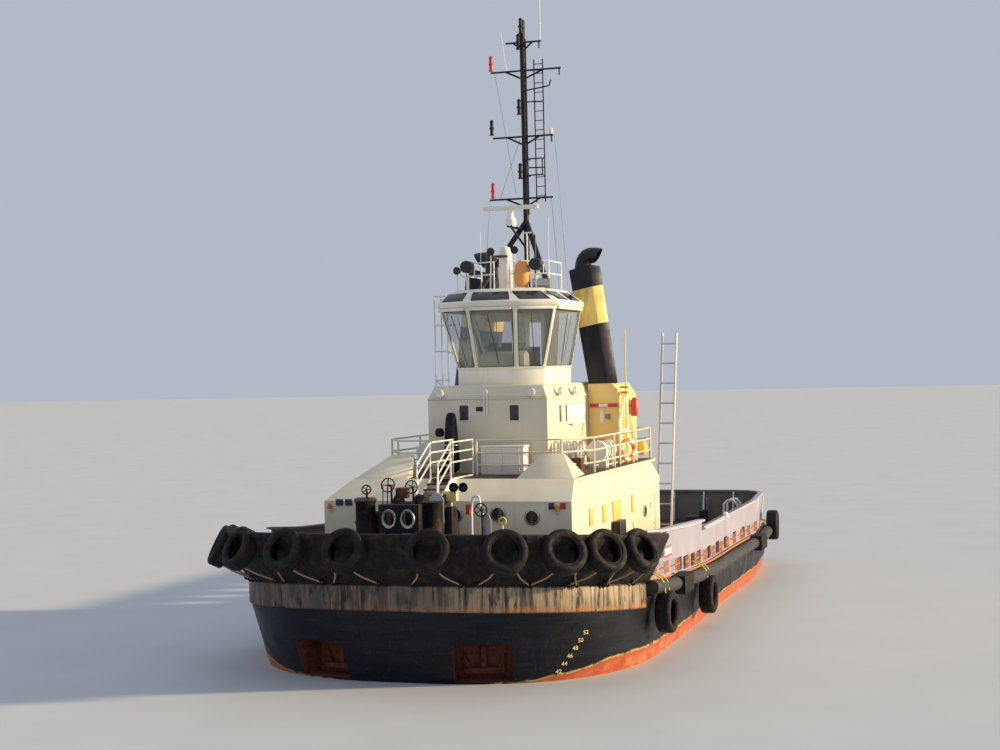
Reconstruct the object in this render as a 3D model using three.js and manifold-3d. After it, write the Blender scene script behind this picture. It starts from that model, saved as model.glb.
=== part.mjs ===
// A harbour tug with twin stern thrusters, twin funnels and a raised octagonal wheelhouse.
// Millimetres. +X to the bow, +Y to port, +Z up. Origin on the waterline amidships.
import * as THREE from "three";
import { mergeVertices } from "three/addons/utils/BufferGeometryUtils.js";
import Module from "manifold-3d";

const wasm = await Module();
wasm.setup();

// Driving dimensions
const SEAM = 0.3; // running gap between pieces that touch
const DECK_SEAM = 0.7; // the same where a piece follows the sheer of the deck
const KEEL = -4050; // flat of keel below the waterline
const HALF_BEAM = 5600; // at the deck edge amidships
const BOW = 14000; // deck edge at the stem
const STERN = -14200; // deck edge at the transom
const DECK_AFT = 1620; // main deck height where the sheer is lowest
const HOUSE_FRONT = 9780;
const HOUSE_AFT = -700;
const HOUSE_HALF = 3600;
const DECK_HALF = 3300; // half width of the boat deck
const KNUCKLE = 4320; // where the house walls turn in towards the boat deck
const BOAT_DECK = 4850;
const BREAKWATER = 5460; // top of the raised corners ahead of the boat deck
const UPPER_FRONT = 6000;
const UPPER_AFT = -600;
const UPPER_HALF = 1850;
const UPPER_TOP = 7080; // top of the upper house front, below its chamfer
const BRIDGE_DECK = 7430;
const SILL = 7870; // wheelhouse windows, bottom
const EAVES = 9780; // wheelhouse windows, top
const ROOF = 10330;
const MAST_X = 1650;
const MAST_TOP = 19000;
const PLATE = 90; // thickness of house walls and decks

// Colours
const CREAM = { color: 0xe6dcb4, roughness: 0.55, metalness: 0.0 };
const WHITE = { color: 0xe8e6dc, roughness: 0.5, metalness: 0.0 };
const YELLOW = { color: 0xd9a93a, roughness: 0.5, metalness: 0.0 };
const NAVY = { color: 0x10131c, roughness: 0.45, metalness: 0.0 };
const STEEL = { color: 0x8d8b86, roughness: 0.5, metalness: 0.7 };
const RUBBER = { color: 0x17171a, roughness: 0.85, metalness: 0.0 };
const LILAC = { color: 0xa9a8b8, roughness: 0.6, metalness: 0.0 };
const BLACK = { color: 0x141414, roughness: 0.5, metalness: 0.1 };
const RUST = { color: 0x6e3a2a, roughness: 0.8, metalness: 0.3 };
const BRONZE = { color: 0x9c7a3c, roughness: 0.35, metalness: 0.9 };
const GLASS = { color: 0x8fa6ad, roughness: 0.08, metalness: 0.0 };
const GREY = { color: 0x55585c, roughness: 0.6, metalness: 0.2 };
const SEAT = { color: 0x23252b, roughness: 0.8, metalness: 0.0 };

const tug = new THREE.Group();

// Solids

// A closed three.js geometry as a solid that can be joined and cut.
function solid(geometry) {
  const bare = geometry.index ? geometry.clone() : mergeVertices(geometry.clone());
  bare.deleteAttribute("normal");
  bare.deleteAttribute("uv");
  const merged = mergeVertices(bare, 1e-3);
  return new wasm.Manifold(
    new wasm.Mesh({
      numProp: 3,
      vertProperties: new Float32Array(merged.attributes.position.array),
      triVerts: new Uint32Array(merged.index.array),
    }),
  );
}

const join = (pieces) => pieces.reduce((whole, piece) => whole.add(piece));
const mirrored = (piece) => piece.mirror([0, 1, 0]);
const both = (piece) => [piece, mirrored(piece)];

// A named part of the boat from a solid and its finish.
function part(name, shape, finish) {
  const data = shape.getMesh();
  const geometry = new THREE.BufferGeometry();
  geometry.setAttribute("position", new THREE.BufferAttribute(data.vertProperties, 3));
  geometry.setIndex(new THREE.BufferAttribute(data.triVerts, 1));
  geometry.computeVertexNormals();
  const mesh = new THREE.Mesh(geometry, new THREE.MeshStandardMaterial(finish));
  mesh.name = name;
  tug.add(mesh);
}

// A block between two opposite corners.
function block(x0, x1, y0, y1, z0, z1) {
  const geometry = new THREE.BoxGeometry(x1 - x0, y1 - y0, z1 - z0);
  return solid(geometry.translate((x0 + x1) / 2, (y0 + y1) / 2, (z0 + z1) / 2));
}

// A straight round bar between two points, or a cone where the end radii differ.
function bar(from, to, radius, sides = 8, endRadius = radius) {
  const a = new THREE.Vector3(...from);
  const b = new THREE.Vector3(...to);
  const along = b.clone().sub(a);
  const geometry = new THREE.CylinderGeometry(endRadius, radius, along.length(), sides);
  geometry.applyQuaternion(
    new THREE.Quaternion().setFromUnitVectors(new THREE.Vector3(0, 1, 0), along.normalize()),
  );
  const middle = a.add(b).multiplyScalar(0.5);
  return solid(geometry.translate(middle.x, middle.y, middle.z));
}

// Bars end to end through the points, with a ball at each corner unless they are slim and square.
function pipe(points, radius, sides = 6) {
  const runs = points.slice(1).map((point, i) => bar(points[i], point, radius, sides));
  if (sides === 4) return join(runs);
  const corners = points.slice(1, -1).map(([x, y, z]) => {
    const ball = new THREE.IcosahedronGeometry(radius * 1.05, 0);
    return solid(ball.translate(x, y, z));
  });
  return join([...runs, ...corners]);
}

// An outline pushed along an axis: "z" reads it as x, y, "y" as x, z and "x" as y, z.
function slab(outline, axis, from, to) {
  const shape = new THREE.Shape(outline.map(([u, v]) => new THREE.Vector2(u, v)));
  const geometry = new THREE.ExtrudeGeometry(shape, { depth: to - from, bevelEnabled: false });
  geometry.translate(0, 0, from);
  const turn = new THREE.Matrix4();
  if (axis === "x") turn.set(0, 0, 1, 0, 1, 0, 0, 0, 0, 1, 0, 0, 0, 0, 0, 1);
  if (axis === "y") turn.set(1, 0, 0, 0, 0, 0, -1, 0, 0, 1, 0, 0, 0, 0, 0, 1);
  geometry.applyMatrix4(turn);
  if (axis === "y") geometry.translate(0, from + to, 0);
  return solid(geometry);
}

// A turned shape about an upright axis; its profile is radius, height.
function turned(profile, sides) {
  const points = profile.map(([r, z]) => new THREE.Vector2(r, z));
  const geometry = new THREE.LatheGeometry(points, sides);
  geometry.rotateX(Math.PI / 2);
  return solid(geometry);
}

// A skin through rings of equal point counts, with a fan of strips closing each end.
function loft(rings) {
  const count = rings[0].length;
  const positions = rings.flat(2);
  const faces = [];
  for (let r = 0; r + 1 < rings.length; r++) {
    for (let i = 0; i < count; i++) {
      const j = (i + 1) % count;
      const [a, b, c, d] = [r * count + i, r * count + j, (r + 1) * count + j, (r + 1) * count + i];
      faces.push(a, b, c, a, c, d);
    }
  }
  const top = (rings.length - 1) * count;
  for (let lo = 0, hi = count - 1; hi - lo > 1; ) {
    faces.push(hi, lo + 1, lo);
    faces.push(top + lo, top + lo + 1, top + hi);
    lo += 1;
    if (hi - lo <= 1) break;
    faces.push(hi - 1, lo, hi);
    faces.push(top + hi, top + lo, top + hi - 1);
    hi -= 1;
  }
  const geometry = new THREE.BufferGeometry();
  geometry.setAttribute("position", new THREE.Float32BufferAttribute(positions, 3));
  geometry.setIndex(faces);
  const made = solid(geometry);
  if (made.volume() > 0) return made;
  geometry.setIndex(faces.map((_, i) => faces[i - (i % 3) + (2 - (i % 3))]));
  return solid(geometry);
}

// The hull's lines

// Straight runs of the deck's sheer: x and height at each kink, forward to aft
const SHEER = [
  { x: BOW, z: 2620 },
  { x: 7500, z: 2010 },
  { x: 3750, z: 1780 },
  { x: 0, z: 1660 },
  { x: -3000, z: DECK_AFT },
  { x: -9000, z: DECK_AFT },
  { x: STERN, z: DECK_AFT },
];
const deckHeight = (x) => {
  const i = Math.max(1, SHEER.findIndex((kink) => kink.x <= x));
  const [fore, aft] = [SHEER[i - 1], SHEER[i < 1 ? SHEER.length - 1 : i]];
  return fore.z + ((aft.z - fore.z) * (fore.x - x)) / (fore.x - aft.x);
};

// How far the bottom has risen towards the stern: 0 amidships, 1 over the thrusters.
const sternRise = (x) => Math.min(1, Math.max(0, -x / 9000));

const SHOULDER = 7500; // where the round of the bow starts
const STERN_RADIUS = 1500;
const STERN_TAPER = 0.9; // beam at the stern over beam amidships

const sideTaper = (x) => 1 - 0.04 * Math.min(1, Math.max(0, (SHOULDER - x) / 11000)) ** 2;

const BOW_STEPS = 12;
// Half of a plan outline from stem to stern, port side.
function halfPlan({ half, bow, stern, power }) {
  const points = [];
  for (let i = 0; i <= BOW_STEPS; i++) {
    const angle = (i / BOW_STEPS) * (Math.PI / 2);
    const x = SHOULDER + (bow - SHOULDER) * Math.cos(angle) ** (2 / power);
    points.push([x, half * Math.sin(angle) ** (2 / power)]);
  }
  const aftHalf = half * STERN_TAPER;
  const radius = Math.min(STERN_RADIUS, aftHalf * 0.5);
  for (const { x } of SHEER.slice(2, -1)) points.push([x, half * sideTaper(x)]);
  for (let i = 0; i <= 3; i++) {
    const angle = (i / 3) * (Math.PI / 2);
    points.push([
      stern + radius * (1 - Math.sin(angle)),
      aftHalf - radius * (1 - Math.cos(angle)),
    ]);
  }
  points.push([stern, 0]);
  return points;
}

// Port half and its mirror as one ring, with a height for each point.
function planRing(level) {
  const port = halfPlan(level);
  const starboard = port.slice(1, -1).reverse();
  return [
    ...port.map(([x, y]) => [x, y, level.height(x)]),
    ...starboard.map(([x, y]) => [x, -y, level.height(x)]),
  ];
}

const BELT_DEPTH = 730; // bare steel band below the deck edge
const DECK_POWER = 2.8; // fullness of the bow at the deck
// half: half beam, bow and stern: ends of the outline, power: fullness, flat and aft: heights
const HULL_LEVELS = [
  { half: 2000, bow: 10600, stern: -12800, power: 2.0, flat: KEEL, aft: -1500 },
  { half: 4400, bow: 11900, stern: -13400, power: 2.2, flat: -3450, aft: -1330 },
  { half: 5150, bow: 12700, stern: -13800, power: 2.4, flat: -1700, aft: -800 },
  { half: 5420, bow: 13300, stern: -14000, power: 2.6, flat: 0, aft: 0 },
].map((level) => ({
  ...level,
  height: (x) => level.flat + (level.aft - level.flat) * sternRise(x),
}));
const BELT_LEVEL = {
  half: HALF_BEAM,
  bow: BOW,
  stern: STERN,
  power: DECK_POWER,
  height: (x) => deckHeight(x) - BELT_DEPTH,
};
const DECK_LEVEL = {
  half: HALF_BEAM, bow: BOW, stern: STERN, power: DECK_POWER, height: deckHeight,
};

const SKEG = [
  [-2500, -3000],
  [-2500, KEEL],
  [-8600, KEEL],
  [-9300, -1700],
  [-9000, -1300],
];
const hullBody = loft([...HULL_LEVELS, BELT_LEVEL, DECK_LEVEL].map(planRing));
// The hull grown by the running gap: what stands on its deck or lies on its side is cut to it.
const hullCutter = hullBody
  .scale([1 + SEAM / BOW, 1 + SEAM / (HALF_BEAM * STERN_TAPER), 1])
  .translate([0, 0, SEAM]);
const onHull = (shape) => shape.subtract(hullCutter);
// A piece on the port side and its mirror.
function pair(name, shape, finish) {
  part(name + "_port", shape, finish);
  part(name + "_starboard", mirrored(shape), finish);
}

// The deck edge as a line: a distance from the stem along it, positive to port.
const EDGE = (() => {
  const points = halfPlan(DECK_LEVEL);
  const line = [{ at: 0, x: points[0][0], y: points[0][1] }];
  for (const [x, y] of points.slice(1)) {
    const last = line[line.length - 1];
    line.push({ at: last.at + Math.hypot(x - last.x, y - last.y), x, y });
  }
  return line;
})();

const EDGE_HALF = EDGE[EDGE.length - 1].at; // from the stem to the middle of the stern

function edgePlace(distance) {
  const round = Math.abs(distance) > EDGE_HALF;
  const at = round ? 2 * EDGE_HALF - Math.abs(distance) : Math.abs(distance);
  const side = distance < 0 === round ? 1 : -1;
  const i = Math.max(1, EDGE.findIndex((p) => p.at >= at));
  const [before, after] = [EDGE[i - 1], EDGE[i]];
  const t = (at - before.at) / (after.at - before.at);
  return [before.x + t * (after.x - before.x), side * (before.y + t * (after.y - before.y))];
}

// A point at a distance along the deck edge, moved outboard by out, and the way outboard there.
function edgePoint(distance, out = 0) {
  const [x0, y0] = edgePlace(distance - 60);
  const [x1, y1] = edgePlace(distance + 60);
  const length = Math.hypot(x1 - x0, y1 - y0);
  const [nx, ny] = [(y1 - y0) / length, (x0 - x1) / length];
  const [x, y] = edgePlace(distance);
  return { x: x + nx * out, y: y + ny * out, nx, ny };
}

// Distance along the port deck edge of a place given by its x, aft of the shoulder.
const edgeAtX = (x) => {
  const i = EDGE.findIndex((p) => p.x <= x);
  const t = (EDGE[i - 1].x - x) / (EDGE[i - 1].x - EDGE[i].x);
  return EDGE[i - 1].at + t * (EDGE[i].at - EDGE[i - 1].at);
};

// A strip along the deck edge from one distance to another, with a joint at each of its corners.
// section gives its outline as outboard, height above the deck edge.
function edgeStrip(from, to, section) {
  const corners = EDGE.slice(0, -1).flatMap(({ at }) => [at, -at, 2 * EDGE_HALF - at]);
  const between = corners.filter((at) => at > from + 1 && at < to - 1);
  const stations = [...new Set([from, ...between, to])].sort((a, b) => a - b);
  const rings = stations.map((distance) => {
    const foot = edgePoint(distance);
    return section(foot.x).map(([out, up]) => {
      const p = edgePoint(distance, out);
      return [p.x, p.y, deckHeight(foot.x) + up];
    });
  });
  return loft(rings);
}

// Tyres: outer radius, hole radius and width of the fender tyres
const TYRE = { outer: 570, hole: 340, width: 440, sides: 12 };

// A tyre lying flat at the origin, its axis upright.
const tyre = (() => {
  const { outer, hole, width, sides } = TYRE;
  const profile = [
    [hole, 0],
    [hole + 70, -width / 2],
    [outer - 50, -width / 2],
    [outer, -width * 0.2],
    [outer, width * 0.2],
    [outer - 50, width / 2],
    [hole + 70, width / 2],
    [hole, 0],
  ];
  return turned(profile, sides);
})();

// A tyre hung at a place along the deck edge, its axis outboard and tipped up by lean degrees.
function hungTyre(distance, out, height, lean = 0) {
  const p = edgePoint(distance, out);
  const turn = new THREE.Euler(0, Math.PI / 2 - (lean * Math.PI) / 180, Math.atan2(p.ny, p.nx), "ZYX");
  const matrix = new THREE.Matrix4().makeRotationFromEuler(turn);
  matrix.setPosition(p.x, p.y, height);
  return tyre.transform(matrix.elements);
}

// Hull

// Anchor pocket: place along the deck edge, size, and how far in from that edge it starts and ends
const POCKET = { along: 2350, width: 1500, top: 1050, bottom: 60, back: 1470, front: -100 };

function pocketBlock(side) {
  const p = edgePoint(side * POCKET.along);
  const height = POCKET.top - POCKET.bottom;
  const geometry = new THREE.BoxGeometry(POCKET.back - POCKET.front, POCKET.width, height);
  geometry.rotateZ(Math.atan2(p.ny, p.nx));
  const inward = (POCKET.back + POCKET.front) / 2;
  geometry.translate(p.x - p.nx * inward, p.y - p.ny * inward, (POCKET.top + POCKET.bottom) / 2);
  return solid(geometry);
}

const THRUSTER = { x: -11000, y: 2600, z: -3000, wellBottom: -1640, wellRadius: 640 };
const thrusterWell = bar(
  [THRUSTER.x, THRUSTER.y, -1200],
  [THRUSTER.x, THRUSTER.y, THRUSTER.wellBottom],
  THRUSTER.wellRadius,
  16,
);
const pockets = [1, -1].map(pocketBlock);
const hull = join([hullBody, slab(SKEG, "y", -250, 250), ...both(thrusterWell)]);
part("hull", pockets.reduce((body, pocket) => body.subtract(pocket), hull), NAVY);

// Anchors in their pockets: shank, crown and two flukes.
for (const [side, name] of [[1, "port"], [-1, "starboard"]]) {
  const p = edgePoint(side * POCKET.along);
  const back = POCKET.back - SEAM;
  const local = join([
    block(0, 160, -70, 70, 120, 800),
    block(0, 240, -520, 520, 120, 260),
    slab([[-520, 200], [-520, 620], [-330, 260]], "x", 20, 120),
    slab([[520, 200], [330, 260], [520, 620]], "x", 20, 120),
  ]);
  const matrix = new THREE.Matrix4().makeRotationZ(Math.atan2(p.ny, p.nx));
  matrix.setPosition(p.x - p.nx * back, p.y - p.ny * back, POCKET.bottom);
  part("anchor_" + name, local.transform(matrix.elements), RUST);
}

// Belt, fenders and bulwarks

const BELT_END = edgeAtX(9700);
const belt = [
  [SEAM, -BELT_DEPTH + 20],
  [70, -BELT_DEPTH + 60],
  [70, -70],
  [SEAM, -30],
];
part("belt", edgeStrip(-BELT_END, BELT_END, () => belt), STEEL);

const BOW_FENDER_END = edgeAtX(9550);
const FENDER_LEAN = 24; // degrees that the bow bulwark leans outboard
const FENDER_RISE = 1250;
const leanOut = Math.tan((FENDER_LEAN * Math.PI) / 180);
const bowSection = [
  [-150, DECK_SEAM],
  [60, DECK_SEAM],
  [210, 160],
  [FENDER_RISE * leanOut + 140, FENDER_RISE - 60],
  [FENDER_RISE * leanOut + 140, FENDER_RISE + 40],
  [FENDER_RISE * leanOut - 60, FENDER_RISE + 40],
  [0, 160],
];
// Distance along the edge from the stem of each bow tyre, port positive
const BOW_TYRES = [-6950, -5450, -3950, -2410, -840, 1280, 2940, 4180, 5180, 6310];
// How far the tyres' middles are outboard of the deck edge and above it, and how far their faces tip up
const BOW_TYRE = { out: 760, up: 870, tip: 27 };
const bowTyres = BOW_TYRES.map((distance) => {
  const x = edgePoint(distance).x;
  return hungTyre(distance, BOW_TYRE.out, deckHeight(x) + BOW_TYRE.up, BOW_TYRE.tip);
});
const bowFender = join([
  edgeStrip(-BOW_FENDER_END, BOW_FENDER_END, () => bowSection),
  ...bowTyres,
]);
part("bow_fender", bowFender, RUBBER);

// Side fenders: a tube along the deck edge with two hollow blocks, and hanging tyres.
const TUBE = { radius: 190, drop: 150, sides: 8 };
const tubeSection = Array.from({ length: TUBE.sides }, (_, i) => {
  const angle = (2 * Math.PI * (i + 0.5)) / TUBE.sides;
  return [
    Math.max(SEAM, TUBE.radius - 20 + TUBE.radius * Math.cos(angle)),
    -TUBE.drop + TUBE.radius * Math.sin(angle),
  ];
});
// x of each block and of each tyre hung on the side, forward to aft
const SPONSONS = [6300, -7800];
const SPONSON = { depth: 440, length: 1250, height: 520 };
const SIDE_TYRES = [
  { x: 8750, height: 1300 },
  { x: 3000, height: 1000 },
  { x: -12100, height: 1650 },
];
function sponson(x) {
  const distance = edgeAtX(x);
  const p = edgePoint(distance, SPONSON.depth / 2 + 1);
  const geometry = new THREE.BoxGeometry(SPONSON.depth, SPONSON.length, SPONSON.height);
  geometry.rotateZ(Math.atan2(p.ny, p.nx));
  return solid(geometry.translate(p.x, p.y, deckHeight(x) - 170));
}
function sideFender(from, to) {
  const tube = edgeStrip(edgeAtX(from), edgeAtX(to), () => tubeSection);
  const tyres = SIDE_TYRES.map(({ x, height }) => hungTyre(edgeAtX(x), 330, height));
  return join([tube, ...SPONSONS.map(sponson), ...tyres]);
}
pair("fender", sideFender(9530, -12600), RUBBER);

// Bulwark panels: x of both ends and height above the deck at each
const BULWARK_INSET = -190;
const BULWARK_THICK = 60;
const BULWARK_PANELS = [
  { from: 9530, to: 1350, front: 1300, back: 1340 },
  { from: 1350, to: -8600, front: 1120, back: 1180 },
];
const RAIL = 70; // half width of the cap rail
const FREEING_PORTS = [5000, 4100, 3000, 2000, 200, -1500, -3200, -4900, -6600];
function bulwarkPanel({ from, to, front, back }) {
  const rise = (x) => front + ((back - front) * (from - x)) / (from - to);
  const plate = (x) => [
    [BULWARK_INSET, DECK_SEAM],
    [BULWARK_INSET + BULWARK_THICK, DECK_SEAM],
    [BULWARK_INSET + BULWARK_THICK, rise(x)],
    [BULWARK_INSET, rise(x)],
  ];
  const cap = (x) => [
    [BULWARK_INSET - RAIL, rise(x) - 20],
    [BULWARK_INSET + BULWARK_THICK + RAIL, rise(x) - 20],
    [BULWARK_INSET + BULWARK_THICK + RAIL, rise(x) + 60],
    [BULWARK_INSET - RAIL, rise(x) + 60],
  ];
  return [plate, cap].map((section) => edgeStrip(edgeAtX(from), edgeAtX(to), section));
}
// Brackets that stay the bulwark from the deck, every so far along x.
function bulwarkStay(distance, height) {
  const p = edgePoint(distance, BULWARK_INSET);
  const geometry = new THREE.BoxGeometry(260, 40, height);
  geometry.translate(-110, 0, 0);
  geometry.rotateZ(Math.atan2(p.ny, p.nx));
  return solid(geometry.translate(p.x, p.y, deckHeight(p.x) + height / 2 + 30));
}
const stays = [];
for (let x = 8900; x > -8600; x -= 1450) stays.push(bulwarkStay(edgeAtX(x), 900));
const ports = FREEING_PORTS.map((x) =>
  block(x - 330, x + 330, HALF_BEAM - 900, HALF_BEAM + 200, deckHeight(x) + 90, deckHeight(x) + 480),
);
const bulwark = ports.reduce(
  (body, port) => body.subtract(port),
  join([...BULWARK_PANELS.flatMap(bulwarkPanel), ...stays]),
);
pair("bulwark", bulwark, LILAC);

// The stern bulwark runs round from one side to the other.
const STERN_FROM = edgeAtX(-8601);
const STERN_TO = 2 * EDGE_HALF - STERN_FROM;
const STERN_RISE = 1180;
const sternPlate = [
  [BULWARK_INSET, DECK_SEAM],
  [BULWARK_INSET + BULWARK_THICK, DECK_SEAM],
  [BULWARK_INSET + BULWARK_THICK, STERN_RISE],
  [BULWARK_INSET, STERN_RISE],
];
const sternCap = [
  [BULWARK_INSET - RAIL, STERN_RISE - 20],
  [BULWARK_INSET + BULWARK_THICK + RAIL, STERN_RISE - 20],
  [BULWARK_INSET + BULWARK_THICK + RAIL, STERN_RISE + 60],
  [BULWARK_INSET - RAIL, STERN_RISE + 60],
];
const sternStays = [];
for (let at = STERN_FROM + 700; at < STERN_TO; at += 1350) sternStays.push(bulwarkStay(at, 900));
const sternBulwark = join([
  edgeStrip(STERN_FROM, STERN_TO, () => sternPlate),
  edgeStrip(STERN_FROM, STERN_TO, () => sternCap),
  ...sternStays,
]);
part("bulwark_stern", sternBulwark, GREY);

// Lower house: hollow, open to the deck below, closed by the boat deck above

const SLOPE_TOP = 8400; // where the sloping front meets the flat boat deck
const ROOF_LEDGE = BOAT_DECK - PLATE - SEAM;
const houseOutline = [
  [HOUSE_AFT, 1000],
  [HOUSE_FRONT, 1000],
  [HOUSE_FRONT, KNUCKLE],
  [SLOPE_TOP, BOAT_DECK],
  [SLOPE_TOP, ROOF_LEDGE],
  [HOUSE_AFT, ROOF_LEDGE],
];
const houseInside = [
  [HOUSE_AFT + PLATE, 900],
  [HOUSE_FRONT - PLATE, 900],
  [HOUSE_FRONT - PLATE, KNUCKLE - PLATE],
  [SLOPE_TOP + PLATE, ROOF_LEDGE - 40],
  [SLOPE_TOP - PLATE, ROOF_LEDGE - 40],
  [SLOPE_TOP - PLATE, BOAT_DECK + 200],
  [HOUSE_AFT + PLATE, BOAT_DECK + 200],
];
// The house across, so far inside its walls: upright to the knuckle, then leaning in to the deck's edge
const houseAcross = (inset) => {
  const half = [
    [HOUSE_HALF - inset, 800],
    [HOUSE_HALF - inset, KNUCKLE],
    [DECK_HALF - inset, BOAT_DECK],
    [DECK_HALF - inset, BOAT_DECK + 300],
  ];
  const outline = [...half, ...half.map(([y, z]) => [-y, z]).reverse()];
  return slab(outline, "x", HOUSE_AFT - 100, HOUSE_FRONT + 100);
};
// Hinges: a pin line outside the wall, with one knuckle on the wall and one on the leaf above it
const HINGE = { radius: 15, length: 90, offset: 18, strap: 50, proud: 12 };
const hingeTop = (low) => low + HINGE.length;
// The two halves of a hinge: along points from the pin over the leaf, out away from the wall.
function hinge(pin, along, out, low) {
  const place = (u, v) => [0, 1].map((i) => pin[i] + along[i] * u + out[i] * v);
  const strap = ([u0, u1], [v0, v1], z) => {
    const [a, b] = [place(u0, v0), place(u1, v1)];
    const [x0, x1] = [Math.min(a[0], b[0]), Math.max(a[0], b[0])];
    const [y0, y1] = [Math.min(a[1], b[1]), Math.max(a[1], b[1])];
    return block(x0, x1, y0, y1, z, hingeTop(z));
  };
  const knuckle = (z) => bar([...pin, z], [...pin, hingeTop(z)], HINGE.radius, 8);
  const above = hingeTop(low) + SEAM;
  const { offset, strap: reach, proud } = HINGE;
  return {
    wall: join([knuckle(low), strap([-reach, 0], [-offset - 5, proud], low)]),
    leaf: join([
      knuckle(above),
      strap([DOOR.gap, reach + 10], [-2 * offset - 2, proud], above),
      strap([0, reach], [-offset + 5, proud], above),
    ]),
  };
}
// Doors: a leaf in its opening; x or y of its middle, height of its sill above the deck below
const DOOR = { width: 700, height: 1850, thick: 60, gap: 8, recess: 15 };
const HOUSE_DOOR = { x: 300, floor: 1950 };
const UPPER_DOOR = { y: 0, floor: BOAT_DECK + 220 };
const houseDoorway = block(
  HOUSE_DOOR.x - DOOR.width / 2,
  HOUSE_DOOR.x + DOOR.width / 2,
  HOUSE_HALF - 300,
  HOUSE_HALF + 100,
  HOUSE_DOOR.floor,
  HOUSE_DOOR.floor + DOOR.height,
);
const houseShell = slab(houseOutline, "y", -HOUSE_HALF, HOUSE_HALF)
  .intersect(houseAcross(0))
  .subtract(slab(houseInside, "y", -HOUSE_HALF, HOUSE_HALF).intersect(houseAcross(PLATE)));
const HINGE_HEIGHTS = [250, 1450]; // of each wall knuckle's foot above the sill
const houseHinges = HINGE_HEIGHTS.map((height) =>
  hinge(
    [HOUSE_DOOR.x + DOOR.width / 2, HOUSE_HALF + HINGE.offset], [-1, 0], [0, 1],
    HOUSE_DOOR.floor + height,
  ),
);
part(
  "lower_house",
  join([
    onHull(both(houseDoorway).reduce((body, doorway) => body.subtract(doorway), houseShell)),
    ...houseHinges.flatMap(({ wall }) => both(wall)),
  ]),
  CREAM,
);

// Side doors of the lower house, hinged at their forward edge
const houseDoorLeaf = join([
  block(
    HOUSE_DOOR.x - DOOR.width / 2 + DOOR.gap,
    HOUSE_DOOR.x + DOOR.width / 2 - DOOR.gap,
    HOUSE_HALF - DOOR.recess - DOOR.thick,
    HOUSE_HALF - DOOR.recess,
    HOUSE_DOOR.floor + DOOR.gap,
    HOUSE_DOOR.floor + DOOR.height - DOOR.gap,
  ),
  block(
    HOUSE_DOOR.x - DOOR.width / 2 + 60,
    HOUSE_DOOR.x - DOOR.width / 2 + 180,
    HOUSE_HALF - DOOR.recess - 10,
    HOUSE_HALF + 30,
    HOUSE_DOOR.floor + 900,
    HOUSE_DOOR.floor + 940,
  ),
  ...houseHinges.map(({ leaf }) => leaf),
]);
pair("house_door", houseDoorLeaf, CREAM);

// Handrails: bars at some levels round a line of x, y points, and posts
function railing(line, floor, height, levels, spacing, radius = 26) {
  const bars = levels.map((level) =>
    pipe(line.map(([x, y]) => [x, y, floor + height * level]), radius, 4),
  );
  const posts = [];
  line.slice(1).forEach(([x1, y1], i) => {
    const [x0, y0] = line[i];
    const count = Math.max(1, Math.round(Math.hypot(x1 - x0, y1 - y0) / spacing));
    for (let k = i > 0 ? 1 : 0; k <= count; k++) {
      const [x, y] = [x0 + ((x1 - x0) * k) / count, y0 + ((y1 - y0) * k) / count];
      posts.push(bar([x, y, floor - 30], [x, y, floor + height + 10], radius, 4));
    }
  });
  return [...bars, ...posts];
}

// Boat deck: a plate over the lower house and its overhang aft, with its raised corners and handrails
const DECK_RAIL = { height: 1010, side: 3150, forward: 6850, corner: 2500, turn: 5700, aft: -1450 };
const RAIL_BARS = [0.28, 0.64, 1];
const boatDeckPlate = block(
  HOUSE_AFT - 850, SLOPE_TOP - SEAM, -DECK_HALF, DECK_HALF, BOAT_DECK - PLATE, BOAT_DECK,
);
// Raised corner: x of the crest and of the aft foot, y of both ends of the front foot, crest and aft foot
const WING = { crest: 7050, lip: 80, end: 6500, foot: [1600, 3290], head: [1960, 2630], heel: [2000, 3100] };
const wingSide = (x0, [inner0, outer0], x1, [inner1, outer1], z) => [
  [x0, inner0, z], [x0, outer0, z], [x1, outer1, z], [x1, inner1, z],
];
const wing = loft([
  wingSide(SLOPE_TOP - SEAM, WING.foot, WING.end, WING.heel, BOAT_DECK - 20),
  wingSide(WING.crest, WING.head, WING.crest - WING.lip, WING.head, BREAKWATER),
]);
const { side, forward, corner: railCorner, turn, aft } = DECK_RAIL;
const boatDeckRails = railing(
  [
    [forward, -60], [forward, railCorner], [turn, side], [aft, side],
    [aft, -side], [turn, -side], [forward, -railCorner], [forward, -880],
  ],
  BOAT_DECK, DECK_RAIL.height, RAIL_BARS, 2300,
);
part("boat_deck", join([boatDeckPlate, ...both(wing), ...boatDeckRails]), CREAM);

// Stairs: a steep flight from the foredeck, and one over the sloping front, with handrails
const STAIR = { y0: -780, y1: -170, foot: 9925, head: 6950, cheek: 50, rail: 24 };
const STAIR_FOOT = deckHeight(STAIR.foot + 180) + DECK_SEAM;
// x and height of the line of the treads' noses: foot, over the knuckle, head at the boat deck
const FLIGHT = [
  { x: STAIR.foot + 90, z: STAIR_FOOT },
  { x: HOUSE_FRONT + 110, z: KNUCKLE + 40 },
  { x: 8850, z: BOAT_DECK + 60 },
  { x: STAIR.head, z: BOAT_DECK + 60 },
];
const flightSide = (y) =>
  slab(
    [
      [STAIR.foot, STAIR_FOOT],
      [STAIR.foot + 180, STAIR_FOOT],
      [FLIGHT[1].x + 90, FLIGHT[1].z - 60],
      [FLIGHT[2].x, FLIGHT[2].z - 20],
      [FLIGHT[3].x, FLIGHT[3].z - 20],
      [FLIGHT[3].x, BOAT_DECK + SEAM],
      [SLOPE_TOP, BOAT_DECK + SEAM],
      [HOUSE_FRONT + 0.2, KNUCKLE + SEAM],
      [HOUSE_FRONT + 0.3, KNUCKLE - 600],
    ],
    "y", y, y + STAIR.cheek,
  );
const treads = [];
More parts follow.
